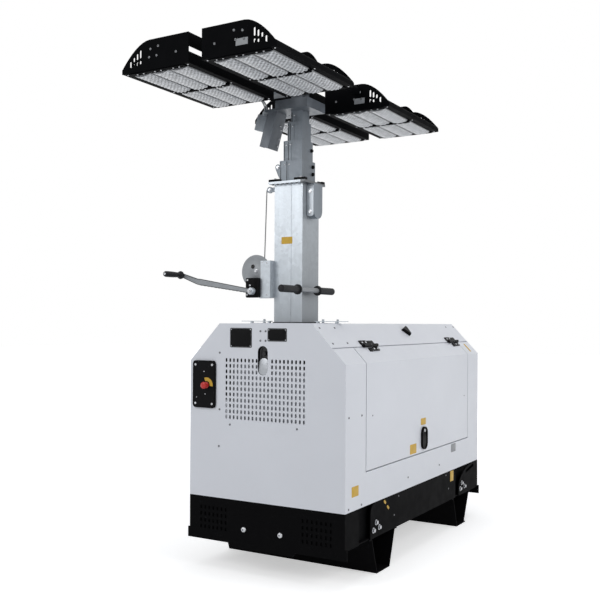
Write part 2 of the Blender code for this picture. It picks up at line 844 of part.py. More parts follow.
def build_screen():
    """The pale sheet that stands a little behind the grille, on two upright spacers."""
    outline = [
        (SCREEN_LEFT, SCREEN_BOTTOM),
        (SCREEN_RIGHT, SCREEN_BOTTOM),
        (SCREEN_RIGHT, SCREEN_TOP),
        (SCREEN_NOTCH_LEFT, SCREEN_TOP),
        (SCREEN_NOTCH_LEFT, SCREEN_NOTCH_BOTTOM),
        (SCREEN_LEFT, SCREEN_NOTCH_BOTTOM),
    ]
    face = END_SHEET + SCREEN_BEHIND
    middle = from_end(face + SCREEN_SHEET / 2)
    screen = as_mesh(plate("grille_screen", [outline], SCREEN_SHEET, (0, middle, 0), ON_END))
    # name, left edge and top of each spacer, which stands in from the sheet's edges
    spacers = (
        ("screen_spacer_left", SCREEN_LEFT + SCREEN_SHEET, SCREEN_NOTCH_BOTTOM - SCREEN_SHEET),
        ("screen_spacer_right", SCREEN_RIGHT - SCREEN_SPACER - SCREEN_SHEET, SCREEN_TOP - SCREEN_SHEET),
    )
    for name, left, top in spacers:
        low = (left, from_end(END_SHEET + GAP), SCREEN_BOTTOM + SCREEN_SHEET)
        high = (left + SCREEN_SPACER, middle, top)
        join(screen, box(name, low, high, CUTTERS))
    carry(screen, "chassis", "canopy_white")


def build_engine():
    floor = TRAY_BOTTOM + TRAY_WALL + GAP
    low = (-ENGINE_WIDTH / 2, from_end(ENGINE_FROM_END), floor)
    high = (ENGINE_WIDTH / 2, from_end(ENGINE_FROM_END + ENGINE_LENGTH), floor + ENGINE_HEIGHT)
    carry(box("engine_block", low, high), "chassis", "engine_grey")


def build_controls():
    outline = rounded_rectangle(
        CONTROL_LEFT, CONTROL_RIGHT, CONTROL_BOTTOM, CONTROL_TOP, CONTROL_CORNER
    )
    place = (0, from_end(-CONTROL_THICK / 2 - GAP), 0)
    carry(plate("control_panel", [outline], CONTROL_THICK, place, ON_END), "chassis", "black_plastic")
    rounded = BUTTON_RADIUS - BUTTON_EDGE
    # radius, and distance along +Y from the button's crown
    profile = [
        (0.0, BUTTON_STAND),
        (BUTTON_COLLAR_RADIUS, BUTTON_STAND),
        (BUTTON_COLLAR_RADIUS, BUTTON_STAND - BUTTON_COLLAR),
        (BUTTON_STEM_RADIUS, BUTTON_STAND - BUTTON_COLLAR - BUTTON_EDGE),
        (BUTTON_STEM_RADIUS, BUTTON_HEAD),
        (rounded, BUTTON_HEAD - 2 * BUTTON_EDGE),
        (BUTTON_RADIUS, BUTTON_HEAD - 4 * BUTTON_EDGE),
        (rounded, 2 * BUTTON_EDGE),
        (rounded - 3 * BUTTON_EDGE, BUTTON_EDGE / 2),
        (0.0, 0.0),
    ]
    crown = from_end(-CONTROL_THICK - 2 * GAP - BUTTON_STAND)
    place = (CONTROL_LEFT + BUTTON_ACROSS, crown, BUTTON_LEVEL)
    button = turned_along_y("stop_button", profile, place, steps=24)
    carry(button, "chassis", "stop_red")


def hinge_half(name, side, reach, middle, length, seat):
    """One leaf with its knuckle: reach is positive up the shoulder, negative down over the door.

    The leaf's underside lies at the height of seat over the panel.
    """
    seam = DOOR_FOLD + SHUT_LINE / 2
    leaf_top = GAP + HINGE_LEAF
    start = math.degrees(math.asin((leaf_top - KNUCKLE_LIFT) / KNUCKLE_RADIUS))
    knuckle = arc((0, KNUCKLE_LIFT), KNUCKLE_RADIUS, start, 270, 10)
    foot = KNUCKLE_RADIUS / 2
    outline = [(abs(reach), seat), (abs(reach), leaf_top)] + knuckle + [(foot, seat)]
    way = math.copysign(1, reach)
    points = [chamfer_point(side, seam + way * across, off) for across, off in outline]
    flat = [(point.x, point.z) for point in points]
    return plate(name, [flat], length, (0, middle, 0), ON_END)


def build_latch(side_name, side):
    """A flush latch: a rimmed capsule with a pocket, and a paddle in the pocket."""
    middle = BODY_LENGTH / 2 + LATCH_OFF_MIDDLE
    left, right = middle - LATCH_WIDTH / 2, middle + LATCH_WIDTH / 2
    face = HALF_WIDTH + GAP
    place = (side * (face + LATCH_THICK / 2), END_Y, 0)
    rim = capsule(left, right, LATCH_BOTTOM, LATCH_TOP)
    latch = as_mesh(plate(f"latch_{side_name}", [rim], LATCH_THICK, place, ON_SIDE))
    inner = (left + LATCH_RIM, right - LATCH_RIM, LATCH_BOTTOM + LATCH_RIM)
    hollow = capsule(*inner, LATCH_TOP - LATCH_RIM)
    place = (side * (face + LATCH_THICK), END_Y, 0)
    pocket = as_mesh(plate(f"latch_pocket_{side_name}", [hollow], 2 * LATCH_POCKET, place, ON_SIDE))
    cut(latch, pocket)
    inner = (inner[0] + PADDLE_PLAY, inner[1] - PADDLE_PLAY, inner[2] + PADDLE_PLAY)
    lever = capsule(*inner, PADDLE_TOP)
    place = (side * (face + LATCH_THICK - LATCH_POCKET), END_Y, 0)
    paddle = as_mesh(plate(f"latch_paddle_{side_name}", [lever], LATCH_POCKET, place, ON_SIDE))
    join(latch, paddle)
    carry(latch, f"door_{side_name}", "black_plastic")


def build_doors():
    for side_name, side in (("right", 1), ("left", -1)):
        body = f"door_{side_name}"
        fold = chamfer_point(side, DOOR_FOLD)
        profile = [(side * HALF_WIDTH, 0, DOOR_BOTTOM), (side * HALF_WIDTH, 0, CHAMFER_START), fold]
        if side < 0:
            profile.reverse()
        place = (0, from_end(DOOR_FROM_END), 0)
        door = bent_sheet(f"door_{side_name}", profile, place, DOOR_LENGTH, PANEL)
        build_latch(side_name, side)
        half = HINGE_LENGTH / 2
        middles = (from_end(FIRST_HINGE_FROM_END), from_far_end(SECOND_HINGE_TO_FAR_END))
        for number, middle in enumerate(middles, start=1):
            knuckle = half - KNUCKLE_PLAY
            name = f"hinge_{side_name}_{number}"
            fixed = hinge_half(name, side, HINGE_UP, middle - half / 2, knuckle, GAP)
            carry(fixed, "chassis", "black_plastic")
            name = f"door_leaf_{side_name}_{number}"
            moving = hinge_half(name, side, -HINGE_DOWN, middle + half / 2, knuckle, -HINGE_SINK)
            join(door, as_mesh(moving))
        carry(door, body, "canopy_white")


def upright_block(name, middle, width, bottom, top, collection=None):
    """A square block that stands on end, its middle this far right of the turning axis."""
    half = width / 2
    low = (middle - half, MAST_Y - half, bottom)
    high = (middle + half, MAST_Y + half, top)
    return box(name, low, high, collection)


def hollow_tube(tube, number, bottom, floor):
    """Cuts a tube's bore, the narrower throat that guides the next tube, and its front groove."""
    width, wall, top, middle, groove = MAST_SECTIONS[number - 1]
    over = MAST_FLOOR
    has_inner = number < len(MAST_SECTIONS)
    bore_bottom = bottom + floor if floor else bottom - over
    bore_top = top - MAST_COLLAR if has_inner else top + over
    bore_name = f"{tube.name}_bore"
    cut(tube, upright_block(bore_name, middle, width - 2 * wall, bore_bottom, bore_top, CUTTERS))
    if has_inner:
        inner_width, inner_middle = MAST_SECTIONS[number][0], MAST_SECTIONS[number][3]
        throat = inner_width + 2 * GUIDE_GAP
        throat_name = f"{tube.name}_throat"
        mouth = upright_block(
            throat_name, inner_middle, throat, bore_top - over, top + over, CUTTERS
        )
        cut(tube, mouth)
    face = MAST_Y - width / 2
    low = (groove - GROOVE_WIDTH / 2, face - GROOVE_DEPTH, bottom - over)
    high = (groove + GROOVE_WIDTH / 2, face + GROOVE_DEPTH, top - MAST_FLANGE_THICK)
    cut(tube, box(f"{tube.name}_groove", low, high, CUTTERS))


def build_mast():
    floor = TRAY_BOTTOM + TRAY_WALL + GAP
    pivot = cylinder(
        "mast_pivot", (0, MAST_Y, floor + MAST_PIVOT_HEIGHT / 2), MAST_PIVOT_RADIUS, MAST_PIVOT_HEIGHT
    )
    carry(pivot, "chassis", "galvanised")

    for number, (width, _, top, middle, _) in enumerate(MAST_SECTIONS, start=1):
        if number == 1:
            tube = upright_block("mast_outer_tube", middle, width, MAST_BOTTOM, top)
            flange_bottom = top - MAST_FLANGE_THICK
            flange = upright_block("mast_flange", middle, MAST_FLANGE, flange_bottom, top, CUTTERS)
            join(tube, flange)
            hollow_tube(tube, number, MAST_BOTTOM, MAST_FLOOR)
            carry(tube, "mast_base", "galvanised")
        else:
            bottom = MAST_BOTTOM + MAST_FLOOR + number * SECTION_STEP
            name = f"mast_section_{number}"
            tube = upright_block(name, middle, width, bottom, top)
            hollow_tube(tube, number, bottom, 0.0)
            carry(tube, name, "galvanised")

    bush = cylinder(
        "roof_bush",
        (0, MAST_Y, ROOF_TOP + ROOF_BUSH_PROUD - ROOF_BUSH_THICK / 2),
        BUSH_RADIUS,
        ROOF_BUSH_THICK,
        segments=64,
    )
    width = 2 * (MAST_HALF + GAP)
    bottom = ROOF_TOP - 2 * ROOF_BUSH_THICK
    square = upright_block("bush_square", 0, width, bottom, ROOF_TOP + ROOF_BUSH_THICK, CUTTERS)
    carry(cut(bush, square), "mast_base", "black_plastic")


def build_winch():
    face = -(MAST_HALF + GAP)
    near, far = from_end(WINCH_NEAR_FROM_END), from_end(WINCH_FAR_FROM_END)
    outline = [
        (face, near),
        (face, far),
        (face - WINCH_FAR_REACH, far),
        (face - WINCH_FAR_REACH, far - WINCH_SHEET),
        (face - WINCH_SHEET, far - WINCH_SHEET),
        (face - WINCH_SHEET, near + WINCH_SHEET),
        (face - WINCH_NEAR_REACH, near + WINCH_SHEET),
        (face - WINCH_NEAR_REACH, near),
    ]
    height = WINCH_TOP - WINCH_BOTTOM
    frame = plate("winch_frame", [outline], height, (0, 0, WINCH_BOTTOM + height / 2), LYING)
    carry(frame, "mast_base", "galvanised")

    drum_near = near + WINCH_SHEET + DRUM_PLAY
    length = far - WINCH_SHEET - GAP - drum_near
    # radius, and distance along +Y from the gear's near face
    profile = [
        (0.0, length),
        (DRUM_FLANGE_RADIUS, length),
        (DRUM_FLANGE_RADIUS, length - DRUM_FLANGE_THICK),
        (DRUM_RADIUS, length - DRUM_FLANGE_THICK),
        (DRUM_RADIUS, GEAR_THICK),
        (GEAR_RADIUS, GEAR_THICK),
        (GEAR_RADIUS, 0.0),
        (AXLE_RADIUS, 0.0),
        (AXLE_RADIUS, -DRUM_FLANGE_THICK),
        (0.0, -DRUM_FLANGE_THICK),
    ]
    drum = turned_along_y("winch_drum", profile, (WINCH_X, drum_near, WINCH_LEVEL), steps=48)
    carry(drum, "mast_base", "galvanised")

    right = face - WINCH_NEAR_REACH - GAP
    brake_far = near + WINCH_SHEET
    low = (right - BRAKE_WIDTH, brake_far - BRAKE_THICK, WINCH_BOTTOM)
    high = (right, brake_far, BRAKE_TOP)
    brake = box("winch_brake", low, high)
    rounding = brake.modifiers.new("rounding", "BEVEL")
    rounding.width = BRAKE_CORNER
    rounding.segments = 2
    carry(brake, "mast_base", "black_plastic")
    build_crank(brake_far - BRAKE_THICK - GAP)
    build_rope(near, far)


def build_crank(shaft_end):
    """The crank: a hub on the brake's shaft, an arm, and a grip that points away from the mast."""
    rise = math.radians(CRANK_RISE_DEG)
    plane = shaft_end - CRANK_HUB_LENGTH / 2
    tip = Vector(
        (CRANK_X - CRANK_ARM * math.cos(rise), plane, CRANK_LEVEL + CRANK_ARM * math.sin(rise))
    )
    hub = cylinder(
        "winch_crank", (CRANK_X, plane, CRANK_LEVEL), CRANK_HUB_RADIUS, CRANK_HUB_LENGTH, "Y", 24
    )
    middle = (Vector((CRANK_X, plane, CRANK_LEVEL)) + tip) / 2
    arm = cylinder("crank_arm", middle, CRANK_TUBE_RADIUS, CRANK_ARM, "X", 16, CUTTERS)
    arm.rotation_euler = (0, rise, 0)
    stem_length = CRANK_STEM + CRANK_TUBE_RADIUS
    stem_middle = tip - Vector((0, CRANK_STEM / 2 - CRANK_TUBE_RADIUS / 2, 0))
    stem = cylinder("crank_stem", stem_middle, CRANK_TUBE_RADIUS, stem_length, "Y", 16, CUTTERS)
    stem.rotation_euler = (0, rise, 0)
    grip_middle = tip - Vector((0, CRANK_STEM + CRANK_GRIP_LENGTH / 2 - CRANK_TUBE_RADIUS / 2, 0))
    grip = cylinder("crank_grip", grip_middle, CRANK_GRIP_RADIUS, CRANK_GRIP_LENGTH, "Y", 20, CUTTERS)
    for piece in (arm, stem, grip):
        join(hub, piece)
    carry(hub, "crank", "galvanised")


def build_rope(near, far):
    """The rope from the drum up to the pulley beside the top of the outer tube."""
    middle = (near + far) / 2
    pulley_x = -(MAST_HALF + PULLEY_OUT)
    lug = box(
        "pulley_lug",
        (pulley_x, middle - PULLEY_THICK / 3, PULLEY_LEVEL - PULLEY_LUG_RISE),
        (-(MAST_HALF + GAP), middle + PULLEY_THICK / 3, PULLEY_LEVEL + PULLEY_LUG_RISE),
        CUTTERS,
    )
    sheave = cylinder(
        "rope_pulley", (pulley_x, middle, PULLEY_LEVEL), PULLEY_RADIUS, PULLEY_THICK, "Y", 24
    )
    carry(join(sheave, lug), "mast_base", "galvanised")
    reach = DRUM_RADIUS + ROPE_RADIUS + GAP
    start = Vector((WINCH_X + reach, middle, WINCH_LEVEL))
    end = Vector((pulley_x - PULLEY_RADIUS - ROPE_RADIUS - GAP, middle, PULLEY_LEVEL))
    curve = bpy.data.curves.new("winch_rope", "CURVE")
    curve.dimensions = "3D"
    curve.bevel_depth = ROPE_RADIUS
    curve.bevel_resolution = 2
    curve.use_fill_caps = True
    spline = curve.splines.new("POLY")
    spline.points.add(1)
    spline.points[0].co = (*start, 1)
    spline.points[1].co = (*end, 1)
    rope = bpy.data.objects.new("winch_rope", curve)
    PARTS.objects.link(rope)
    carry(rope, "mast_base", "rope_steel")


def build_handle():
    length = HANDLE_TO - HANDLE_FROM_END
    flange = GRIP_FLANGE_THICK
    # radius, and distance along +Y from the near tip
    profile = [
        (0.0, length),
        (GRIP_RADIUS - GRIP_EDGE, length),
        (GRIP_RADIUS, length - GRIP_EDGE),
        (GRIP_RADIUS, length - GRIP_LENGTH + flange),
        (GRIP_FLANGE_RADIUS, length - GRIP_LENGTH + flange),
        (GRIP_FLANGE_RADIUS, length - GRIP_LENGTH),
        (HANDLE_RADIUS, length - GRIP_LENGTH),
        (HANDLE_RADIUS, GRIP_LENGTH),
        (GRIP_FLANGE_RADIUS, GRIP_LENGTH),
        (GRIP_FLANGE_RADIUS, GRIP_LENGTH - flange),
        (GRIP_RADIUS, GRIP_LENGTH - flange),
        (GRIP_RADIUS, GRIP_EDGE),
        (GRIP_RADIUS - GRIP_EDGE, 0.0),
        (0.0, 0.0),
    ]
    bar_x = MAST_HALF + HANDLE_OUT
    place = (bar_x, from_end(HANDLE_FROM_END), HANDLE_LEVEL)
    handle = turned_along_y("turn_handle", profile, place, steps=24)
    middle = MAST_Y - MAST_HALF / 2
    half = HANDLE_BRACKET / 2
    rise = HANDLE_BRACKET_HEIGHT / 2
    bracket = box(
        "handle_bracket",
        (MAST_HALF + GAP, middle - half, HANDLE_LEVEL - rise),
        (bar_x, middle + half, HANDLE_LEVEL + rise),
        CUTTERS,
    )
    carry(join(handle, bracket), "mast_base", "rubber")

    guide_top = MAST_TUBE_TOP - MAST_FLANGE_THICK - GAP
    left = GUIDE_FROM_END
    right = GUIDE_FROM_END + GUIDE_WIDTH
    radius = (GUIDE_WIDTH - GUIDE_FLAT) / 2
    lower = arc((left + radius, GUIDE_BOTTOM + radius), radius, 180, 270, 6)
    lower += arc((right - radius, GUIDE_BOTTOM + radius), radius, 270, 360, 6)
    outline = lower + [(right, guide_top), (left, guide_top)]
    place = (MAST_HALF + GAP + GUIDE_THICK / 2, END_Y, 0)
    guide = plate("cable_guide", [outline], GUIDE_THICK, place, ON_SIDE)
    carry(guide, "mast_base", "galvanised")


def lamp_curve(flat, top, bottom=0.0):
    """A lamp plate's outline: a flat top, which then falls ever more steeply to the toe."""
    span = LAMP_WIDTH - flat
    shares = [i / LAMP_STEPS for i in range(LAMP_STEPS + 1)]
    fall = [(flat + span * share, top - (top - LAMP_TOE) * share**LAMP_CURVE) for share in shares]
    return [(0, bottom), (0, top)] + fall + [(LAMP_WIDTH, bottom)]


def lamp_extrusion(name, side, middle, outlines, along):
    """A solid of one section of the lamp, between two places along its length."""
    mirrored = [
        [(side * (across - LAMP_WIDTH / 2), up) for across, up in outline] for outline in outlines
    ]
    place = (middle.x, middle.y + sum(along) / 2, LAMP_BOTTOM)
    return as_mesh(plate(name, mirrored, along[1] - along[0], place, ON_END))


def lamp_block(name, side, middle, across, along, up):
    """A box of the lamp, from its ranges across, along and up."""
    ends = [middle.x + side * (value - LAMP_WIDTH / 2) for value in across]
    low = (min(ends), middle.y + along[0], LAMP_BOTTOM + up[0])
    high = (max(ends), middle.y + along[1], LAMP_BOTTOM + up[1])
    return box(name, low, high, CUTTERS)


def module_columns():
    """The ranges across of the lamp's three columns of light modules."""
    left, right = RAIL_TO_RAIL[0] + MODULE_SIDE_BAR, RAIL_TO_RAIL[1] - MODULE_SIDE_BAR
    bars = MODULE_BAR * (MODULE_COLUMNS - 1)
    width = (right - left - bars) / MODULE_COLUMNS
    starts = [left + column * (width + MODULE_BAR) for column in range(MODULE_COLUMNS)]
    return [(start, start + width) for start in starts]


def module_rows():
    """The ranges along of the lamp's two rows of light modules."""
    far = LAMP_LENGTH / 2 - MODULE_END_BAR
    near = MODULE_MID_BAR / 2
    return [(-far, -near), (near, far)]


def outer_rail_outline():
    edge = LAMP_WIDTH - OUTER_RAIL_EDGE
    centre = (edge - OUTER_RAIL_ROUND, OUTER_RAIL_TOP - OUTER_RAIL_ROUND)
    shoulder = arc(centre, OUTER_RAIL_ROUND, 0, 90, 4)
    left = edge - OUTER_RAIL_WIDTH
    return [(left, WELD), (edge, WELD)] + shoulder + [(left, OUTER_RAIL_TOP)]


def inner_rail_outline():
    """The inner rail's foot and the upright flange on it."""
    return [
        (WELD, WELD),
        (INNER_RAIL_WIDTH, WELD),
        (INNER_RAIL_WIDTH, INNER_RAIL_TOP),
        (RAIL_SHEET, INNER_RAIL_TOP),
        (RAIL_SHEET, INNER_FLANGE_TOP),
        (WELD, INNER_FLANGE_TOP),
    ]


def fins_outline():
    """The section of a heat sink: a deck between the rails, with upright fins."""
    left, right = RAIL_TO_RAIL[0] - WELD, RAIL_TO_RAIL[1] + WELD
    pitch = (right - left) / FIN_COUNT
    outline = [(left, DECK_TOP), (left, DECK_BOTTOM), (right, DECK_BOTTOM), (right, DECK_TOP)]
    for number in reversed(range(FIN_COUNT)):
        middle = left + (number + 0.5) * pitch
        inner, outer = middle - FIN_THICK / 2, middle + FIN_THICK / 2
        outline += [(outer, DECK_TOP), (outer, FIN_TOP), (inner, FIN_TOP), (inner, DECK_TOP)]
    return outline


def build_lamp_housing(name, side, middle):
    """An open frame: two end plates, rails, a heat sink over each row, and the module frame."""
    half = LAMP_LENGTH / 2
    vents = [
        capsule(across - VENT_WIDTH / 2, across + VENT_WIDTH / 2, bottom, top, steps=3)
        for across, bottom, top in VENT_SLOTS
    ]
    end_plate = [lamp_curve(LAMP_FLAT_TOP, LAMP_HEIGHT)] + vents
    housing = lamp_extrusion(
        f"lamp_housing_{name}", side, middle, end_plate, (-half, LAMP_PLATE - half)
    )
    within = (LAMP_PLATE / 2 - half, half - LAMP_PLATE / 2)
    mid_plate = lamp_curve(MID_PLATE_FLAT, MID_PLATE_TOP, MID_PLATE_BOTTOM)
    far_deck = (MODULE_MID_BAR / 2, half - DECK_END)
    near_deck = (-far_deck[1], -far_deck[0])
    # name, outlines, and range along
    sections = (
        ("far_plate", end_plate, (half - LAMP_PLATE, half)),
        ("mid_plate", [mid_plate], (-LAMP_PLATE / 2, LAMP_PLATE / 2)),
        ("outer_rail", [outer_rail_outline()], within),
        ("inner_rail", [inner_rail_outline()], within),
        ("near_fins", [fins_outline()], near_deck),
        ("far_fins", [fins_outline()], far_deck),
    )
    for piece, outlines, along in sections:
        join(housing, lamp_extrusion(f"{piece}_{name}", side, middle, outlines, along))
    across = (WELD, RAIL_SHEET + WELD)
    up = (INNER_BAND_BOTTOM, LAMP_HEIGHT - WELD)
    join(housing, lamp_block(f"inner_band_{name}", side, middle, across, within, up))
    join(housing, build_module_frame(name, side, middle, within))
    return housing


def build_module_frame(name, side, middle, within):
    """The flat frame under the rails, with a window for each light module."""
    across = (RAIL_TO_RAIL[0] - WELD, RAIL_TO_RAIL[1] + WELD)
    up = (FRAME_BOTTOM, FRAME_TOP)
    frame = lamp_block(f"module_frame_{name}", side, middle, across, within, up)
    through = (FRAME_BOTTOM - FRAME_TOP, 2 * FRAME_TOP)
    for number, column in enumerate(module_columns(), start=1):
        for row_name, row in zip(("near", "far"), module_rows()):
            window_name = f"{row_name}_window_{number}_{name}"
            cut(frame, lamp_block(window_name, side, middle, column, row, through))
    return frame


def lens_outline():
    """The section of three bulging lenses, joined by a web that lies in the backing."""
    web_bottom = FRAME_TOP + GAP + LENS_BACK / 4
    web_top = web_bottom + LENS_BACK / 2
    outline = []
    for left, right in module_columns():
        left, right = left + LENS_PLAY, right - LENS_PLAY
        middle, half = (left + right) / 2, (right - left) / 2
        shares = [2 * i / LENS_STEPS - 1 for i in range(LENS_STEPS + 1)]
        bulge = [(middle + half * share, -LENS_BULGE * (1 - share**2)) for share in shares]
        outline += [(left, web_bottom)] + bulge + [(right, web_bottom)]
    return outline + [(outline[-1][0], web_top), (outline[0][0], web_top)]


def build_lenses(name, side, middle):
    """The lamp's six lenses on one backing, which lies on the module frame."""
    reach = LAMP_LENGTH / 2 - LENS_BACK_END
    across = (RAIL_TO_RAIL[0] + LENS_BACK_SIDE, RAIL_TO_RAIL[1] - LENS_BACK_SIDE)
    bottom = FRAME_TOP + GAP
    up = (bottom, bottom + LENS_BACK)
    lenses = lamp_block(f"lamp_lens_{name}", side, middle, across, (-reach, reach), up)
    CUTTERS.objects.unlink(lenses)
    PARTS.objects.link(lenses)
    for row, (start, end) in zip(("near", "far"), module_rows()):
        along = (start + LENS_PLAY, end - LENS_PLAY)
        join(lenses, lamp_extrusion(f"{row}_lenses_{name}", side, middle, [lens_outline()], along))
    return lenses


def build_lamps():
    for name, side_x, side_y in LAMPS:
        middle = Vector((HEAD_X + side_x * LAMP_SPREAD, MAST_Y + side_y * LAMP_ALONG, 0))
        carry(build_lamp_housing(name, side_x, middle), f"lamp_{name}", "lamp_black")
        carry(build_lenses(name, side_x, middle), f"lamp_{name}", "lens_white")


def build_head():
    """The head on the last tube: a plate and a box, a neck, and the beam that holds the shafts."""
    base = HEAD_LEVEL + GAP
    near, far = MAST_Y - HEAD_HALF_LENGTH, MAST_Y + HEAD_HALF_LENGTH
    head = box(
        "head_beam",
        (HEAD_X - HEAD_PLATE_REACH, near, base),
        (HEAD_X + HEAD_HALF, far, base + HEAD_PLATE),
    )
    box_top = base + HEAD_BOX_HEIGHT
    reach = LAMP_SPREAD - SHAFT_RADIUS - GAP
    neck, wide, rise = HEAD_NECK / 2, HEAD_BEAM_WIDTH / 2, HEAD_BEAM_HEIGHT / 2
    # name, half width, half length, bottom and top of each block
    blocks = (
        ("head_box", HEAD_HALF, HEAD_HALF_LENGTH, base + HEAD_PLATE / 2, box_top),
        ("head_neck", neck, neck, box_top - HEAD_PLATE, LAMP_PIVOT_LEVEL),
        ("head_arm", reach, wide, LAMP_PIVOT_LEVEL - rise, LAMP_PIVOT_LEVEL + rise),
    )
    for name, half_width, half_length, bottom, top in blocks:
        low = (HEAD_X - half_width, MAST_Y - half_length, bottom)
        high = (HEAD_X + half_width, MAST_Y + half_length, top)
        join(head, box(name, low, high, CUTTERS))
    carry(head, "mast_section_5", "galvanised")

    shaft_length = 2 * (LAMP_ALONG - LAMP_LENGTH / 2 - GAP)
    for name, side in (("right", 1), ("left", -1)):
        place = (HEAD_X + side * LAMP_SPREAD, MAST_Y, LAMP_PIVOT_LEVEL)
        shaft = cylinder(f"lamp_shaft_{name}", place, SHAFT_RADIUS, shaft_length, "Y", 24)
        carry(shaft, "mast_section_5", "lamp_black")
    build_cable_channel()


def build_cable_channel():
    """The leaning channel that hangs from the head's plate, and the junction box at its left."""
    tilt = math.radians(CHANNEL_TILT_DEG)
    rising = Vector((math.sin(tilt), 0, math.cos(tilt)))
    leftwards = Vector((-math.cos(tilt), 0, math.sin(tilt)))
    foot = Vector((CHANNEL_FOOT_X, MAST_Y - CHANNEL_FROM_MAST, CHANNEL_FOOT_LEVEL))
    half, sheet = CHANNEL_WIDTH / 2, CHANNEL_SHEET
    outline = [
        (-half, 0),
        (half, 0),
        (half, CHANNEL_RIGHT_DEPTH),
        (half - sheet, CHANNEL_RIGHT_DEPTH),
        (half - sheet, sheet),
        (sheet - half, sheet),
        (sheet - half, CHANNEL_LEFT_DEPTH),
        (-half, CHANNEL_LEFT_DEPTH),
    ]
    middle = foot + rising * CHANNEL_LENGTH / 2
    channel = as_mesh(plate("cable_channel", [outline], CHANNEL_LENGTH, middle, (0, tilt, 0)))
    over = box(
        "channel_end",
        (middle.x - CHANNEL_LENGTH, foot.y - CHANNEL_WIDTH, HEAD_LEVEL),
        (middle.x + CHANNEL_LENGTH, foot.y + 2 * CHANNEL_RIGHT_DEPTH, HEAD_LEVEL + CHANNEL_LENGTH),
        CUTTERS,
    )
    carry(cut(channel, over), "mast_section_5", "galvanised")

    out = half + GAP + JUNCTION_WIDTH / 2
    across = (-JUNCTION_WIDTH / 2, JUNCTION_WIDTH / 2)
    up = (-JUNCTION_HEIGHT / 2, JUNCTION_HEIGHT / 2)
    case = box("junction_box", (across[0], 0, up[0]), (across[1], JUNCTION_DEPTH, up[1]))
    place = foot + rising * JUNCTION_RISE + leftwards * out
    case.location = place + Vector((0, JUNCTION_DEPTH / 2, 0))
    case.rotation_euler = (0, tilt, 0)
    rounding = case.modifiers.new("rounding", "BEVEL")
    rounding.width = BRAKE_CORNER / 2
    rounding.segments = 2
    carry(case, "mast_section_5", "galvanised")


def build_bodies():
    make_body("chassis", (0, 0, 0))
    seam = DOOR_FOLD + SHUT_LINE / 2
    for name, side in (("door_right", 1), ("door_left", -1)):
        axis = chamfer_point(side, seam, KNUCKLE_LIFT)
        make_body(name, (axis.x, from_end(BODY_LENGTH / 2), axis.z), "chassis")
    make_body("mast_base", (0, MAST_Y, MAST_BOTTOM), "chassis")
    make_body("crank", (CRANK_X, from_end(WINCH_NEAR_FROM_END), CRANK_LEVEL), "mast_base")
    parent = "mast_base"
    for number in range(2, len(MAST_SECTIONS) + 1):
        _, _, top, middle, _ = MAST_SECTIONS[number - 1]
        make_body(f"mast_section_{number}", (middle, MAST_Y, top), parent)
        parent = f"mast_section_{number}"
    for name, side_x, side_y in LAMPS:
        inner_end = MAST_Y + side_y * (LAMP_ALONG - LAMP_LENGTH / 2)
        make_body(f"lamp_{name}", (HEAD_X + side_x * LAMP_SPREAD, inner_end, LAMP_PIVOT_LEVEL), parent)


for leftover in list(bpy.data.objects):
    bpy.data.objects.remove(leftover)
PARTS, CUTTERS = make_collections()
make_materials()
build_bodies()
build_base()
build_feet()
build_canopy()
build_screen()
build_engine()
build_controls()
build_doors()
build_mast()
build_winch()
build_handle()
build_head()
build_lamps()
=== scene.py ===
"""Looks of the mobile light tower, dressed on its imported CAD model.

Metres, +Z up. The origin is the middle of the front foot's sole, -Y the end with the air grille and
+X the side of the right-hand door. Each sub-assembly is a class that builds its own pieces, each
finish is a small frozen class, and main() builds them in order.
"""

from __future__ import annotations

import json
import logging
import math
from dataclasses import dataclass, field, replace
from enum import Enum
from typing import Iterable, Sequence

import bpy
import numpy as np
from mathutils import Matrix, Vector

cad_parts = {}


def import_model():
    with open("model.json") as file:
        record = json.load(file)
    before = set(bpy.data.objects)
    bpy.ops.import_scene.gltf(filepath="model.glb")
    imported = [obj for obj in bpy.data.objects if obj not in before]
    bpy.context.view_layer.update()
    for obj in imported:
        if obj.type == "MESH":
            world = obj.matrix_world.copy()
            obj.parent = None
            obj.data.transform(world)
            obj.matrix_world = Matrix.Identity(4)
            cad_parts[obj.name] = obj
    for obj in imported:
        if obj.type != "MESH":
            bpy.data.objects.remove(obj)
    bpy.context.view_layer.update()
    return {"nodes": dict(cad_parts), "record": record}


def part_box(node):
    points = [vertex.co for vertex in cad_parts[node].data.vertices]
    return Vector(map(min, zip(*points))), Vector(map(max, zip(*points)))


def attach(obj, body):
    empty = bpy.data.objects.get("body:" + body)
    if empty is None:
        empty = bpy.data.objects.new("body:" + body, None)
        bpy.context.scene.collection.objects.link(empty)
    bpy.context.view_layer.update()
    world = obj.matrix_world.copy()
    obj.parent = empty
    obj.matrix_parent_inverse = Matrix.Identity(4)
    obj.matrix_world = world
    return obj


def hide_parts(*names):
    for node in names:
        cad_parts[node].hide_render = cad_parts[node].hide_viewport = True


LOG = logging.getLogger("light_tower")
Socket = bpy.types.NodeSocket
Spots = Sequence[Sequence[float]]

END_Y = -0.4375
HALF_WIDTH = 0.4625
MAST_Y = -0.1225
MAST_HALF = 0.086
FLANGE_HALF = 0.111
FLANGE_TOP = 2.025
ROOF_TOP = 1.276
SHOULDER_START = 1.081
SHOULDER_WIDTH = 0.187
SHOULDER_DROP = 0.195
SHOULDER_LENGTH = math.hypot(SHOULDER_WIDTH, SHOULDER_DROP)
UP_SHOULDER = (-SHOULDER_WIDTH / SHOULDER_LENGTH, 0.0, SHOULDER_DROP / SHOULDER_LENGTH)
OFF_SHOULDER = (SHOULDER_DROP / SHOULDER_LENGTH, 0.0, SHOULDER_WIDTH / SHOULDER_LENGTH)
HEAD_X = 0.018
HEAD_TILT = math.radians(16.5)
UPWARDS = (0.0, 0.0, 1.0)
PANEL_SCREW = (0.0055, 0.003)


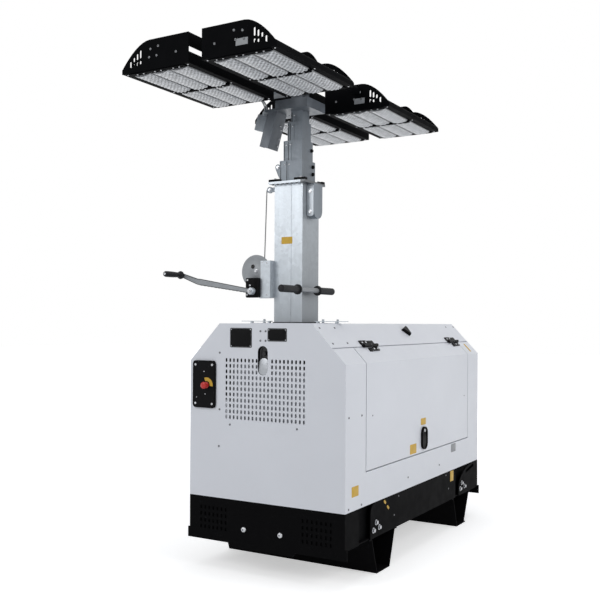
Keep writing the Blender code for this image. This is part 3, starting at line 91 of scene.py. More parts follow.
class Axis(Enum):
    """The direction that a piece's own +Z is turned to."""

    RIGHT = (1.0, 0.0, 0.0)
    FAR = (0.0, 1.0, 0.0)
    NEAR = (0.0, -1.0, 0.0)
    UP = UPWARDS
    DOWN = (0.0, 0.0, -1.0)


def facing(direction: Axis | Sequence[float], up: Axis | Sequence[float] = UPWARDS) -> np.ndarray:
    """Turn whose third column is the direction and whose second lies as near to up as it can.

    Args:
        direction: where the piece's own +Z points.
        up: what the piece's own +Y leans to.

    Returns:
        A 3 by 3 matrix, one column for each of the piece's own axes.
    """
    third, hint = (np.array(way.value if isinstance(way, Axis) else way, float) for way in (direction, up))
    third /= np.linalg.norm(third)
    if abs(third @ hint) > 0.99 * np.linalg.norm(hint):
        hint = np.array(Axis.FAR.value)
    second = hint - (hint @ third) * third
    second /= np.linalg.norm(second)
    return np.column_stack((np.cross(second, third), second, third))


@dataclass
class Surface:
    """A mesh held as whole arrays.

    Attributes:
        points: an array of (points, 3).
        quads: four-sided faces.
        tris: three-sided faces.
    """

    points: np.ndarray
    quads: np.ndarray = field(default_factory=lambda: np.empty((0, 4), int))
    tris: np.ndarray = field(default_factory=lambda: np.empty((0, 3), int))

    def placed(self, turn: np.ndarray, place: Sequence[float]) -> Surface:
        """The surface turned, then moved: each point becomes turn times point, plus place."""
        return Surface(self.points @ turn.T + np.asarray(place, float), self.quads, self.tris)

    def repeated(self, turns: np.ndarray, places: np.ndarray) -> Surface:
        """One copy of the surface for each turn and place, as one surface.

        Args:
            turns: an array of (copies, 3, 3).
            places: an array of (copies, 3).

        Returns:
            The copies in one surface; copy k's faces count from k times the number of points.
        """
        count, size = len(places), len(self.points)
        points = np.einsum("kij,pj->kpi", turns, self.points) + places[:, None, :]
        step = np.arange(count)[:, None, None] * size
        quads = (self.quads[None] + step).reshape(-1, 4)
        tris = (self.tris[None] + step).reshape(-1, 3)
        return Surface(points.reshape(-1, 3), quads, tris)

    def mirrored(self) -> Surface:
        """The surface with X turned to -X, and its faces turned so that they still look outwards."""
        return Surface(self.points * (-1.0, 1.0, 1.0), self.quads[:, ::-1], self.tris[:, ::-1])

    def outward(self) -> Surface:
        """The closed surface with its faces turned outwards, told by the sign of its volume.

        The volume is a sixth of the sum, over all triangles, of the first corner times the cross product
        of the other two.

        Returns:
            The same surface, or one with each face turned round.
        """
        tris = np.concatenate((self.quads[:, :3], self.quads[:, [0, 2, 3]], self.tris))
        first, second, third = (self.points[tris[:, corner]] for corner in range(3))
        if (first * np.cross(second, third)).sum() >= 0:
            return self
        return Surface(self.points, self.quads[:, ::-1], self.tris[:, ::-1])

    @staticmethod
    def joined(parts: Iterable[Surface]) -> Surface:
        """Several surfaces in one, each with its faces counted on from the points before it.

        Args:
            parts: the surfaces.

        Returns:
            All of them as one.
        """
        parts = list(parts)
        starts = np.cumsum([0] + [len(part.points) for part in parts[:-1]])
        return Surface(
            np.concatenate([part.points for part in parts]),
            np.concatenate([part.quads + start for part, start in zip(parts, starts)]),
            np.concatenate([part.tris + start for part, start in zip(parts, starts)]),
        )

    def mesh(self, name: str) -> bpy.types.Mesh:
        """The surface as a Blender mesh.

        Args:
            name: the mesh's name.

        Returns:
            The mesh.
        """
        made = bpy.data.meshes.new(name)
        made.from_pydata(self.points.tolist(), [], self.quads.tolist() + self.tris.tolist())
        made.update()
        return made

    def piece(self, name: str, body: str, finish: Finish, smooth_deg: float = 35.0) -> bpy.types.Object:
        """A finished piece that rides on a body.

        Args:
            name: the piece's name.
            body: the CAD body that carries it.
            finish: the finish on all of its faces.
            smooth_deg: edges sharper than this stay sharp.

        Returns:
            The object, at the origin, with its place in its mesh.
        """
        obj = bpy.data.objects.new(name, self.mesh(name))
        bpy.context.scene.collection.objects.link(obj)
        obj.data.shade_smooth()
        obj.data.set_sharp_from_angle(angle=math.radians(smooth_deg))
        obj.data.materials.append(finish.material())
        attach(obj, body)
        LOG.info("%s rides on %s in %s", name, body, finish.slot)
        return obj


def grid_faces(rows: int, columns: int, loop: bool = False) -> np.ndarray:
    """Four-sided faces between neighbours on a grid of points whose rows close on themselves.

    Args:
        rows: number of rows.
        columns: number of points in a row.
        loop: whether the last row joins the first.

    Returns:
        An array of (faces, 4): a point, its right neighbour, and the two in the next row.
    """
    row = np.arange(rows if loop else rows - 1)[:, None]
    column = np.arange(columns)[None, :]
    after, right = (row + 1) % rows, (column + 1) % columns
    corners = (row * columns + column, row * columns + right, after * columns + right, after * columns + column)
    return np.stack(np.broadcast_arrays(*corners), axis=-1).reshape(-1, 4)


def lofted(rings: np.ndarray, loop: bool = False) -> Surface:
    """A skin over closed rings of points. A fan round each end ring's mean closes it.

    Args:
        rings: an array of (rings, points in a ring, 3).
        loop: whether the last ring joins the first, which leaves no ends to close.

    Returns:
        The closed surface, facing outwards.
    """
    count, size = rings.shape[:2]
    flat = rings.reshape(-1, 3)
    if loop:
        return Surface(flat, grid_faces(count, size, True)).outward()
    around = np.arange(size)
    last = (count - 1) * size
    first_fan = np.column_stack((np.full(size, count * size), (around + 1) % size, around))
    last_fan = np.column_stack((np.full(size, count * size + 1), last + around, last + (around + 1) % size))
    points = np.concatenate((flat, rings[0].mean(axis=0)[None], rings[-1].mean(axis=0)[None]))
    return Surface(points, grid_faces(count, size), np.concatenate((first_fan, last_fan))).outward()


def stacked(steps: Iterable[tuple[np.ndarray, float]], loop: bool = False) -> Surface:
    """A skin over flat outlines, each carried to its own level.

    Args:
        steps: outlines of (points, 2) with as many points each, and their levels.
        loop: whether the last outline joins the first.

    Returns:
        The closed surface.
    """
    rings = [np.column_stack((outline, np.full(len(outline), level))) for outline, level in steps]
    return lofted(np.stack(rings), loop)


def circle(steps: int) -> np.ndarray:
    """Directions round a circle, (steps, 2): the cosine and the sine of evenly spaced angles."""
    angle = np.linspace(0, 2 * np.pi, steps, endpoint=False)
    return np.column_stack((np.cos(angle), np.sin(angle)))


def revolved(profile: Spots, steps: int) -> Surface:
    """A profile turned about +Z: each (radius, height) becomes a ring at that radius and height.

    Args:
        profile: (radius, height) from the lowest ring to the highest.
        steps: points in a ring.

    Returns:
        The surface, closed at both ends.
    """
    return stacked((radius * circle(steps), height) for radius, height in profile)


def rounded_outline(width: float, height: float, radius: float, steps: int = 5) -> np.ndarray:
    """Points round a rectangle with quarter-circle corners, anticlockwise.

    Args:
        width: size along the first axis.
        height: size along the second axis.
        radius: of each corner.
        steps: spaces along each corner's arc.

    Returns:
        An array of (points, 2): each corner's centre plus the radius in directions a quarter turn apart.
    """
    sweep = np.linspace(0, np.pi / 2, steps + 1)
    turn = sweep[None, :] + np.arange(4)[:, None] * np.pi / 2
    across = np.array((1, -1, -1, 1))[:, None] * (width / 2 - radius)
    up = np.array((1, 1, -1, -1))[:, None] * (height / 2 - radius)
    return np.stack((across + radius * np.cos(turn), up + radius * np.sin(turn)), axis=-1).reshape(-1, 2)


def slab(width: float, height: float, thickness: float, radius: float, edge: float, steps: int = 5) -> Surface:
    """A plate with round corners and a rounded upper edge, lying on z = 0.

    The edge's rings stand in by edge times one minus the cosine of the angle, and rise by edge times its sine.

    Args:
        width: size along X.
        height: size along Y.
        thickness: size along Z.
        radius: of its corners.
        edge: radius of its upper edge.
        steps: spaces along each corner's arc.

    Returns:
        The closed plate.
    """
    sweep = np.linspace(0, np.pi / 2, 4)
    insets = np.concatenate((np.zeros(1), edge * (1 - np.cos(sweep))))
    levels = np.concatenate((np.zeros(1), thickness - edge + edge * np.sin(sweep)))
    return stacked(
        (rounded_outline(width - 2 * inset, height - 2 * inset, max(radius - inset, 1e-4), steps), level)
        for inset, level in zip(insets, levels)
    )


def tube(path: np.ndarray, radius: float, steps: int, up: Sequence[float] = UPWARDS) -> Surface:
    """A round tube along a path: each ring is the path's point plus the radius round two directions across it.

    Args:
        path: an array of (points, 3).
        radius: the tube's.
        steps: points in a ring.
        up: a direction that the path never runs along.

    Returns:
        The closed tube.
    """
    along = np.gradient(path, axis=0)
    along /= np.linalg.norm(along, axis=1, keepdims=True)
    side = np.cross(along, np.asarray(up, float))
    side /= np.linalg.norm(side, axis=1, keepdims=True)
    across = np.cross(side, along)
    ways = circle(steps)[None, :, :, None]
    return lofted(path[:, None] + radius * (ways[:, :, 0] * side[:, None] - ways[:, :, 1] * across[:, None]))


def extruded(outline: np.ndarray, height: float, edge: float) -> Surface:
    """A flat outline raised from z = 0, with its upper edge drawn in a little.

    The drawn-in ring moves each point towards the outline's mean by edge.

    Args:
        outline: an array of (points, 2), anticlockwise, that a fan round its mean can close.
        height: its upper level.
        edge: how far the upper edge is drawn in and lowered.

    Returns:
        The closed solid.
    """
    inward = outline.mean(axis=0) - outline
    inner = outline + edge * inward / np.linalg.norm(inward, axis=1, keepdims=True)
    return stacked(((outline, 0.0), (outline, height - edge), (inner, height)))


def banded(width: float, height: float, radius: float, band: float, thickness: float, edge: float) -> Surface:
    """A flat frame with round corners, lying on z = 0: six outlines, joined in a loop.

    Args:
        width: size along X, outside.
        height: size along Y, outside.
        radius: of its outer corners.
        band: width of the frame's band.
        thickness: size along Z.
        edge: how far its upper edges are drawn in and lowered.

    Returns:
        The closed frame.
    """
    # how far each outline stands in from the outside, and its level
    steps = (
        (0.0, 0.0),
        (0.0, thickness - edge),
        (edge, thickness),
        (band - edge, thickness),
        (band, thickness - edge),
        (band, 0.0),
    )
    return stacked(
        (
            (rounded_outline(width - 2 * inset, height - 2 * inset, max(radius - inset, 1e-3)), level)
            for inset, level in steps
        ),
        loop=True,
    )


def hex_bolt(radius: float, height: float) -> Surface:
    """A hexagon head on a washer, on z = 0.

    The hexagon's distance from the middle is its flat's distance over the cosine of the angle from that flat.

    Args:
        radius: from the middle to a corner of the hexagon.
        height: of washer and head.

    Returns:
        The closed head.
    """
    angle = np.linspace(0, 2 * np.pi, 24, endpoint=False)
    six = radius * math.cos(math.pi / 6) / np.cos((angle + np.pi / 6) % (np.pi / 3) - np.pi / 6)
    washer = np.full(24, 1.35 * radius)
    # distance from the middle, and share of the height
    steps = ((washer, 0.0), (washer, 0.22), (six, 0.24), (six, 0.85), (np.minimum(six, 0.9 * radius), 1.0))
    return stacked((far[:, None] * circle(24), share * height) for far, share in steps)


def button_screw(radius: float, height: float) -> Surface:
    """A domed screw head with a sunk socket, on z = 0, turned from seven radii."""
    shares = ((1.0, 0.0), (1.0, 0.3), (0.9, 0.65), (0.68, 0.92), (0.45, 1.0), (0.36, 0.98), (0.32, 0.35))
    return revolved([(share * radius, rise * height) for share, rise in shares], 14)


def scattered(
    shape: Surface, places: Spots, direction: Axis | Sequence[float], up: Axis | Sequence[float] = UPWARDS
) -> Surface:
    """Copies of one shape at several places, all turned the same way.

    Args:
        shape: made on z = 0.
        places: where the copies' origins go.
        direction: where the shape's own +Z points.
        up: what its own +Y leans to.

    Returns:
        The copies in one surface.
    """
    places = np.asarray(places, float)
    return shape.repeated(np.broadcast_to(facing(direction, up), (len(places), 3, 3)), places)


def screws(
    name: str,
    body: str,
    finish: Finish,
    size: tuple[float, float],
    places: Spots,
    direction: Axis | Sequence[float],
    up: Axis | Sequence[float] = UPWARDS,
) -> None:
    """Button screws at several places, as one piece.

    Args:
        name: the piece's name.
        body: the CAD body that carries it.
        finish: its finish.
        size: radius and height of a head.
        places: where the heads stand.
        direction: where they point.
        up: what their own +Y leans to.
    """
    scattered(button_screw(*size), places, direction, up).piece(name, body, finish)


def on_shoulder(side: int, along: Sequence[float], up: Sequence[float], off: float = 0.0) -> np.ndarray:
    """Points on the canopy's sloping shoulder: its lower edge, plus up times the slope, plus off times its normal.

    Args:
        side: 1 for the right shoulder and -1 for the left.
        along: the points' Y.
        up: distances up the slope.
        off: distance off the sheet.

    Returns:
        An array of (points, 3).
    """
    up, along = np.asarray(up, float), np.asarray(along, float)
    across = HALF_WIDTH + up * UP_SHOULDER[0] + off * OFF_SHOULDER[0]
    level = SHOULDER_START + up * UP_SHOULDER[2] + off * OFF_SHOULDER[2]
    return np.column_stack((side * across, along, level))


class NodeTable:
    """A shader under construction: short calls that add and join its nodes."""

    def __init__(self, owner: bpy.types.Material | bpy.types.World, shader: str = "Principled BSDF") -> None:
        """Starts on the owner's own shader node.

        Args:
            owner: the material or world.
            shader: name of the node that its output comes from.
        """
        owner.use_nodes = True
        self.owner, self.tree = owner, owner.node_tree
        self.shader = self.tree.nodes[shader]

    def feed(self, node: bpy.types.Node, inputs: dict[str | int, object]) -> None:
        """Joins sockets to a node's inputs, or sets plain values on them.

        Args:
            node: the node.
            inputs: a socket or a value for each input, by the input's name or place.
        """
        for key, value in inputs.items():
            if isinstance(value, Socket):
                self.tree.links.new(value, node.inputs[key])
            else:
                node.inputs[key].default_value = value

    def add(self, kind: str, inputs: dict[str | int, object] | None = None, **settings: object) -> bpy.types.Node:
        """Adds a node.

        Args:
            kind: Blender's name for the node type.
            inputs: sockets or values for its inputs, by name or place.
            **settings: the node's own settings.

        Returns:
            The node.
        """
        node = self.tree.nodes.new(kind)
        for key, value in settings.items():
            setattr(node, key, value)
        self.feed(node, inputs or {})
        return node

    def place(self, scale: Sequence[float] = (1, 1, 1)) -> Socket:
        """The piece's own place in metres, stretched by scale."""
        source = self.add("ShaderNodeTexCoord").outputs["Object"]
        return self.add("ShaderNodeMapping", {"Scale": scale, "Vector": source}).outputs[0]

    def noise(self, vector: Socket, scale: float, detail: float, rough: float = 0.5) -> Socket:
        """Cloudy noise from 0 to 1 at so many lumps a metre."""
        inputs = {"Scale": scale, "Detail": detail, "Roughness": rough, "Vector": vector}
        return self.add("ShaderNodeTexNoise", inputs).outputs["Fac"]

    def ramp(self, value: Socket, low: float, high: float, out_low: float, out_high: float) -> Socket:
        """A value carried from one range to another and held at its ends."""
        inputs = {"Value": value, "From Min": low, "From Max": high, "To Min": out_low, "To Max": out_high}
        return self.add("ShaderNodeMapRange", inputs).outputs[0]

    def result(self, operation: str, first: Socket, second: Socket | float) -> Socket:
        """What a sum, product or the like of two values gives."""
        return self.add("ShaderNodeMath", {0: first, 1: second}, operation=operation).outputs[0]

    def mixed(self, amount: Socket, first: Socket | tuple, second: Socket | tuple) -> Socket:
        """A colour between two, which are each a colour or a socket."""
        first, second = (way if isinstance(way, Socket) else (*way, 1.0) for way in (first, second))
        return self.add("ShaderNodeMix", {0: amount, 6: first, 7: second}, data_type="RGBA").outputs[2]

    def bump(self, height: Socket, strength: float, distance: float, **under: Socket) -> Socket:
        """A bump of so many metres from a height between 0 and 1, over another bump if one is given."""
        inputs = {"Strength": strength, "Distance": distance, "Height": height, **under}
        return self.add("ShaderNodeBump", inputs).outputs[0]

    def seen(self) -> Socket:
        """1 where the camera, a mirror or a glass sees a point, and 0 for the light that it gives.

        Returns:
            The socket of that value.
        """
        rays = self.add("ShaderNodeLightPath").outputs
        direct = self.result("MAXIMUM", rays["Is Camera Ray"], rays["Is Glossy Ray"])
        return self.result("MAXIMUM", direct, rays["Is Transmission Ray"])

    def finish(self, **inputs: object) -> bpy.types.Material | bpy.types.World:
        """Feeds the shader, in whose input names an underscore stands for a space."""
        self.feed(self.shader, {name.replace("_", " "): value for name, value in inputs.items()})
        return self.owner


@dataclass(frozen=True)
class Finish:
    """A finish of a piece or a node.

    Attributes:
        name: its material's name.
        slot: the record's slot that it belongs to.
        colour: its main colour.
        roughness: its main roughness.
        sheen: how strongly it mirrors, 0.5 being plain plastic or paint.
    """

    name: str
    slot: str
    colour: tuple[float, float, float]
    roughness: float
    sheen: float = field(default=0.5, kw_only=True)

    def material(self) -> bpy.types.Material:
        """The finish's material, made once."""
        return bpy.data.materials.get(self.name) or self.build(NodeTable(bpy.data.materials.new(self.name)))

    def shade(self, factor: float) -> tuple[float, ...]:
        """The colour with each channel multiplied by a factor and held under 1."""
        return tuple(min(channel * factor, 1.0) for channel in self.colour)

    def build(self, table: NodeTable) -> bpy.types.Material:
        """Fills in the shader nodes."""
        raise NotImplementedError


@dataclass(frozen=True)
class PowderCoat(Finish):
    """Sprayed and baked paint: a fine peel, faint cloudiness and dust in what lies low.

    Attributes:
        peel: depth of the orange peel in metres.
        dust_level: height under which dust gathers, in metres.
        dust: how much of it shows, from 0 to 1.
        dust_depth: height over which the dust thins out.
        dust_colour: its colour.
    """

    peel: float = 0.00004
    dust_level: float = 0.0
    dust: float = 0.0
    dust_depth: float = 0.25
    dust_colour: tuple[float, float, float] = (0.42, 0.39, 0.35)

    def build(self, table: NodeTable) -> bpy.types.Material:
        """Cloudy colour, a fine peel, and dust that thins with height.

        Args:
            table: where the nodes go.

        Returns:
            The material.
        """
        place = table.place()
        cloud = table.noise(place, 3.0, 4.0)
        base = table.mixed(table.ramp(cloud, 0.35, 0.65, 0.0, 1.0), self.shade(0.975), self.colour)
        if self.dust > 0:
            height = table.add("ShaderNodeSeparateXYZ", {0: place}).outputs[2]
            low = table.ramp(height, self.dust_level - self.dust_depth, self.dust_level, self.dust, 0.0)
            speck = table.ramp(table.noise(place, 40.0, 6.0, 0.7), 0.45, 0.75, 0.0, 1.0)
            base = table.mixed(table.result("MULTIPLY", low, speck), base, self.dust_colour)
        rough = table.ramp(table.noise(place, 18.0, 5.0), 0.3, 0.7, self.roughness - 0.05, self.roughness + 0.06)
        peel = table.bump(table.noise(place, 700.0, 2.0), 0.35, self.peel)
        return table.finish(Base_Color=base, Roughness=rough, Normal=peel, Specular_IOR_Level=self.sheen)


@dataclass(frozen=True)
class Galvanised(Finish):
    """Hot-dip zinc: crystal spangles of several greys, runs down the sheet, a dull bloom, and painted shade on one
    face.

    Attributes:
        spangle: crystals a metre.
        bloom: how far the dull patches show, from 0 to 1.
        metallic: how far it is bare metal, from 0 to 1.
        darker_below_levels: heights between which the colour goes from darker below to its own colour above.
        painted_shade_face: X beyond which a face gets a painted shade, darker as though that side were in shade.
        painted_shade_share: how strongly that face is darkened by the painted shade, from 0 to 1.
    """

    spangle: float = 60.0
    bloom: float = 0.5
    metallic: float = 0.55
    darker_below_levels: tuple[float, float] = (-2.0, -1.0)
    painted_shade_face: float = 9.0
    painted_shade_share: float = 0.92

    def build(self, table: NodeTable) -> bpy.types.Material:
        """Cells for the crystals, stretched noise for the runs, darkening towards the bottom, painted shade on one
        face, and cloudy roughness.

        Args:
            table: where the nodes go.

        Returns:
            The material.
        """
        place = table.place()
        warp = table.add("ShaderNodeTexNoise", {"Scale": 25.0, "Detail": 3.0, "Vector": place}).outputs["Color"]
        bent = table.add("ShaderNodeVectorMath", {"Scale": 0.02, 0: warp}, operation="SCALE").outputs[0]
        moved = table.add("ShaderNodeVectorMath", {0: place, 1: bent}, operation="ADD").outputs[0]
        cells = table.add("ShaderNodeTexVoronoi", {"Scale": self.spangle, "Vector": moved}).outputs["Color"]
        tone = table.add("ShaderNodeSeparateColor", {0: cells}).outputs[0]
        runs = table.noise(table.place((9.0, 9.0, 1.2)), 2.0, 5.0, 0.6)
        base = table.mixed(tone, self.shade(0.90), self.shade(1.06))
        base = table.mixed(table.ramp(runs, 0.45, 0.72, 0.0, self.bloom), base, self.shade(1.22))
        spot = table.add("ShaderNodeSeparateXYZ", {0: place}).outputs
        # darker towards the bottom: below the given levels, blurred by the runs, the colour goes towards half of itself
        low, high = self.darker_below_levels
        level = table.result("SUBTRACT", spot[2], table.result("MULTIPLY", runs, 0.35))
        base = table.mixed(table.ramp(level, low - 0.17, high - 0.17, 0.75, 0.0), base, self.shade(0.50))
        # painted shade: the faces beyond the given X are darkened towards 0.14 of the colour, as though that side were
        # in shade
        face = table.ramp(spot[0], self.painted_shade_face, self.painted_shade_face + 0.001, 0.0, self.painted_shade_share)
        base = table.mixed(face, base, self.shade(0.14))
        rough = table.ramp(tone, 0.0, 1.0, self.roughness - 0.07, self.roughness + 0.07)
        ripple = table.bump(table.noise(place, 30.0, 3.0), 0.25, 0.0006, Normal=table.bump(tone, 0.12, 0.0002))
        return table.finish(Base_Color=base, Roughness=rough, Normal=ripple, Metallic=self.metallic)


@dataclass(frozen=True)
class Moulded(Finish):
    """Moulded plastic or rubber with a fine spark-eroded grain and slight chalking.

    Attributes:
        grain: grains a metre.
        depth: the grain's depth in metres.
    """

    grain: float = 900.0
    depth: float = 0.00008

    def build(self, table: NodeTable) -> bpy.types.Material:
        """A grain for the bump, and cloudy colour and roughness.

        Args:
            table: where the nodes go.

        Returns:
            The material.
        """
        place = table.place()
        cloud = table.ramp(table.noise(place, 22.0, 5.0), 0.35, 0.7, 0.0, 1.0)
        base = table.mixed(cloud, self.colour, self.shade(1.35))
        rough = table.ramp(cloud, 0.0, 1.0, self.roughness - 0.05, self.roughness + 0.07)
        grain = table.bump(table.noise(place, self.grain, 2.0), 0.5, self.depth)
        return table.finish(Base_Color=base, Roughness=rough, Normal=grain, Specular_IOR_Level=self.sheen)


@dataclass(frozen=True)
class Metal(Finish):
    """Plain worked metal: fine directional scratches and patchy brightness.

    Attributes:
        metallic: how far it is bare metal, from 0 to 1.
        grain: how many times finer the scratches are along X, Y and Z.
    """

    metallic: float
    grain: tuple[float, float, float] = (40.0, 40.0, 400.0)

    def build(self, table: NodeTable) -> bpy.types.Material:
        """Stretched noise for the scratches over cloudy colour.

        Args:
            table: where the nodes go.

        Returns:
            The material.
        """
        cloud = table.ramp(table.noise(table.place(), 14.0, 4.0), 0.35, 0.7, 0.0, 1.0)
        base = table.mixed(cloud, self.shade(0.86), self.colour)
        lines = table.noise(table.place(self.grain), 2.0, 4.0)
        rough = table.ramp(lines, 0.3, 0.7, self.roughness - 0.08, self.roughness + 0.08)
        scratch = table.bump(lines, 0.15, 0.0001)
        return table.finish(Base_Color=base, Roughness=rough, Normal=scratch, Metallic=self.metallic)


@dataclass(frozen=True)
class Lens(Finish):
    """Clear moulded optics over white boards: pale and glossy, with painted shade in the valleys between the lenses.

    Attributes:
        layer: the mesh attribute that gives how far each point stands out, from 0 to 1, or nothing.
    """

    layer: str = ""

    def build(self, table: NodeTable) -> bpy.types.Material:
        """Painted shade in the valleys, from the attribute, or round the edges of small cells where there is none.

        Args:
            table: where the nodes go.

        Returns:
            The material.
        """
        place = table.place()
        if self.layer:
            valley = table.add("ShaderNodeAttribute", attribute_name=self.layer).outputs["Fac"]
            net = table.ramp(valley, 0.12, 0.62, 1.0, 0.0)
        else:
            cells = table.add("ShaderNodeTexVoronoi", {"Scale": 85.0, "Randomness": 0.15, "Vector": place})
            net = table.ramp(cells.outputs["Distance"], 0.15, 0.75, 0.0, 1.0)
        # painted shade: the colour falls towards 0.24 of itself in the valleys between the small lenses
        base = table.mixed(net, self.colour, self.shade(0.24))
        mottle = table.ramp(table.noise(place, 52.0, 2.0), 0.42, 0.64, 0.0, 0.55)
        base = table.mixed(mottle, base, self.shade(0.30))
        haze = table.ramp(table.noise(place, 90.0, 3.0), 0.3, 0.7, self.roughness - 0.06, self.roughness + 0.10)
        return table.finish(Base_Color=base, Roughness=haze, Normal=table.bump(haze, 0.2, 0.0004), Coat_Weight=0.3)


@dataclass(frozen=True)
class Film(Finish):
    """Bare printed film or enamelled plate: even colour, faint fading and rubbed spots."""

    def build(self, table: NodeTable) -> bpy.types.Material:
        """Faded colour in soft clouds, and roughness that the rubbed spots raise.

        Args:
            table: where the nodes go.

        Returns:
            The material.
        """
        place = table.place()
        fade = table.ramp(table.noise(place, 35.0, 4.0), 0.35, 0.75, 0.0, 1.0)
        base = table.mixed(fade, self.colour, self.shade(1.18))
        rub = table.ramp(table.noise(place, 160.0, 5.0, 0.7), 0.5, 0.8, self.roughness, self.roughness + 0.2)
        rubbed = table.bump(rub, 0.2, 0.00003)
        return table.finish(Base_Color=base, Roughness=rub, Normal=rubbed, Specular_IOR_Level=self.sheen)


WHITE_PAINT = PowderCoat(
    "canopy_white_coat", "canopy_white", (0.715, 0.735, 0.785), 0.36, dust_level=0.62, dust=0.04, sheen=0.4
)
# the slots' inner walls: white paint darkened to grey as painted shade
PAINTED_SLOT_SHADE = PowderCoat("slot_wall_painted_shade", "canopy_white", (0.20, 0.205, 0.22), 0.6, sheen=0.1)
BASE_PAINT = PowderCoat(
    "base_black_coat", "base_black", (0.0035, 0.0035, 0.0039), 0.60, 0.00006, dust_level=0.30, dust=0.004, sheen=0.02
)
ZINC = Galvanised("galvanised_zinc", "galvanised", (0.44, 0.475, 0.51), 0.40)
# the mast's zinc is darker towards the bottom, and its right face gets a painted shade
MAST_ZINC = Galvanised(
    "mast_zinc", "galvanised", (0.56, 0.605, 0.65), 0.36, 55.0, 0.5, 0.45, darker_below_levels=(1.30, 1.75), painted_shade_face=0.0855
)
OLD_ZINC = Galvanised("old_zinc", "galvanised", (0.195, 0.220, 0.248), 0.42, 55.0, 0.7, 0.35)
DARK_ZINC = Galvanised("dark_zinc", "galvanised", (0.115, 0.130, 0.150), 0.42, 55.0, 0.6, 0.30)
BLACK_PLASTIC = Moulded("black_moulding", "black_plastic", (0.0045, 0.0045, 0.005), 0.45, sheen=0.05)
LAMP_COAT = PowderCoat("lamp_black_coat", "lamp_black", (0.0030, 0.0032, 0.0038), 0.55, sheen=0.01)
# both lens finishes paint shade into the valleys between the small lenses
OPTIC = Lens("lamp_optic", "lens_white", (0.54, 0.555, 0.58), 0.22)
OPTIC_NET = Lens("lamp_optic_net", "lens_white", (0.76, 0.78, 0.81), 0.22, "lens_rise")
STOP_RED = Moulded("stop_red_moulding", "stop_red", (0.46, 0.020, 0.018), 0.30, 500.0, 0.00003, sheen=0.35)
ENGINE_GREY = Metal("engine_grey_casting", "engine_grey", (0.20, 0.21, 0.22), 0.55, 0.3)
GRIP_RUBBER = Moulded("grip_rubber", "rubber", (0.008, 0.0085, 0.010), 0.55, 350.0, 0.0003, sheen=0.2)
ROPE_STEEL = Metal("rope_wire", "rope_steel", (0.20, 0.20, 0.205), 0.45, 0.6, (300.0, 300.0, 120.0))
SCREW_STEEL = Metal("screw_steel", "galvanised", (0.16, 0.165, 0.175), 0.38, 0.7, (90.0, 90.0, 90.0))
BRIGHT_STEEL = Metal("bright_steel", "galvanised", (0.50, 0.51, 0.53), 0.26, 0.95, (120.0, 120.0, 120.0))
PALE_STEEL = Metal("pale_steel", "galvanised", (0.42, 0.44, 0.47), 0.34, 0.45, (25.0, 25.0, 220.0))
DULL_ZINC = Metal("dull_zinc", "galvanised", (0.27, 0.285, 0.30), 0.50, 0.35, (60.0, 60.0, 60.0))
GLOSS_BLACK = Moulded("gloss_black_moulding", "black_plastic", (0.007, 0.0075, 0.009), 0.20, 300.0, 0.00002, sheen=0.35)
GREY_CABLE = Moulded("grey_cable_jacket", "rope_steel", (0.30, 0.31, 0.32), 0.45, 250.0, 0.00005)
YELLOW_FILM = Film("yellow_film", "canopy_white", (0.56, 0.35, 0.045), 0.45, sheen=0.3)
BLACK_FILM = Film("black_film", "black_plastic", (0.005, 0.005, 0.0055), 0.40, sheen=0.06)
GREY_FILM = Film("grey_film", "galvanised", (0.24, 0.25, 0.265), 0.40, sheen=0.3)

# finishes of the CAD nodes: by their slot, and for single nodes that differ from it
CHASSIS_FINISHES = (WHITE_PAINT, BASE_PAINT, ZINC, BLACK_PLASTIC, STOP_RED, ENGINE_GREY, GRIP_RUBBER, ROPE_STEEL)
NODE_FINISHES = {finish.slot: finish for finish in (*CHASSIS_FINISHES, LAMP_COAT, OPTIC)}
NODE_OVERRIDES = {
    "mast_outer_tube": MAST_ZINC,
    "head_beam": DARK_ZINC,
    "cable_channel": DARK_ZINC,
    "junction_box": OLD_ZINC,
    "winch_drum": DULL_ZINC,
    "rope_pulley": OLD_ZINC,
    "cable_guide": OLD_ZINC,
}
# X of each sliding tube's right face, beyond which its zinc gets a painted shade
SECTION_FACES = {2: 0.0715, 3: 0.0635, 4: 0.0580, 5: 0.0530}
NODE_OVERRIDES |= {
    f"mast_section_{number}": replace(OLD_ZINC, name=f"old_zinc_{number}", painted_shade_face=right, painted_shade_share=0.55)
    for number, right in SECTION_FACES.items()
}


class Side(Enum):
    """The right or the left side of the tower."""

    RIGHT = 1
    LEFT = -1

    @property
    def word(self) -> str:
        """The side's name, as the bodies use it."""
        return self.name.lower()

    @property
    def outward(self) -> tuple[float, float, float]:
        """The direction that the side's flank faces."""
        return (float(self.value), 0.0, 0.0)

    @property
    def shoulder(self) -> tuple[float, float, float]:
        """The direction that the side's sloping shoulder faces."""
        return (self.value * OFF_SHOULDER[0], 0.0, OFF_SHOULDER[2])

    @property
    def slope(self) -> tuple[float, float, float]:
        """The direction up the side's sloping shoulder."""
        return (self.value * UP_SHOULDER[0], 0.0, UP_SHOULDER[2])


def end_spots(places: Spots) -> Spots:
    """Places on the end panel from their X and Z."""
    return [(across, END_Y, up) for across, up in places]


def corners_of(place: Sequence[float], width: float, height: float) -> Spots:
    """The four corners of an upright rectangle across the machine.

    Args:
        place: its middle.
        width: size along X.
        height: size along Z.

    Returns:
        The corners, right before left and upper before lower.
    """
    signs = [(side, rise) for side in (1, -1) for rise in (1, -1)]
    return [(place[0] + side * width / 2, place[1], place[2] + rise * height / 2) for side, rise in signs]


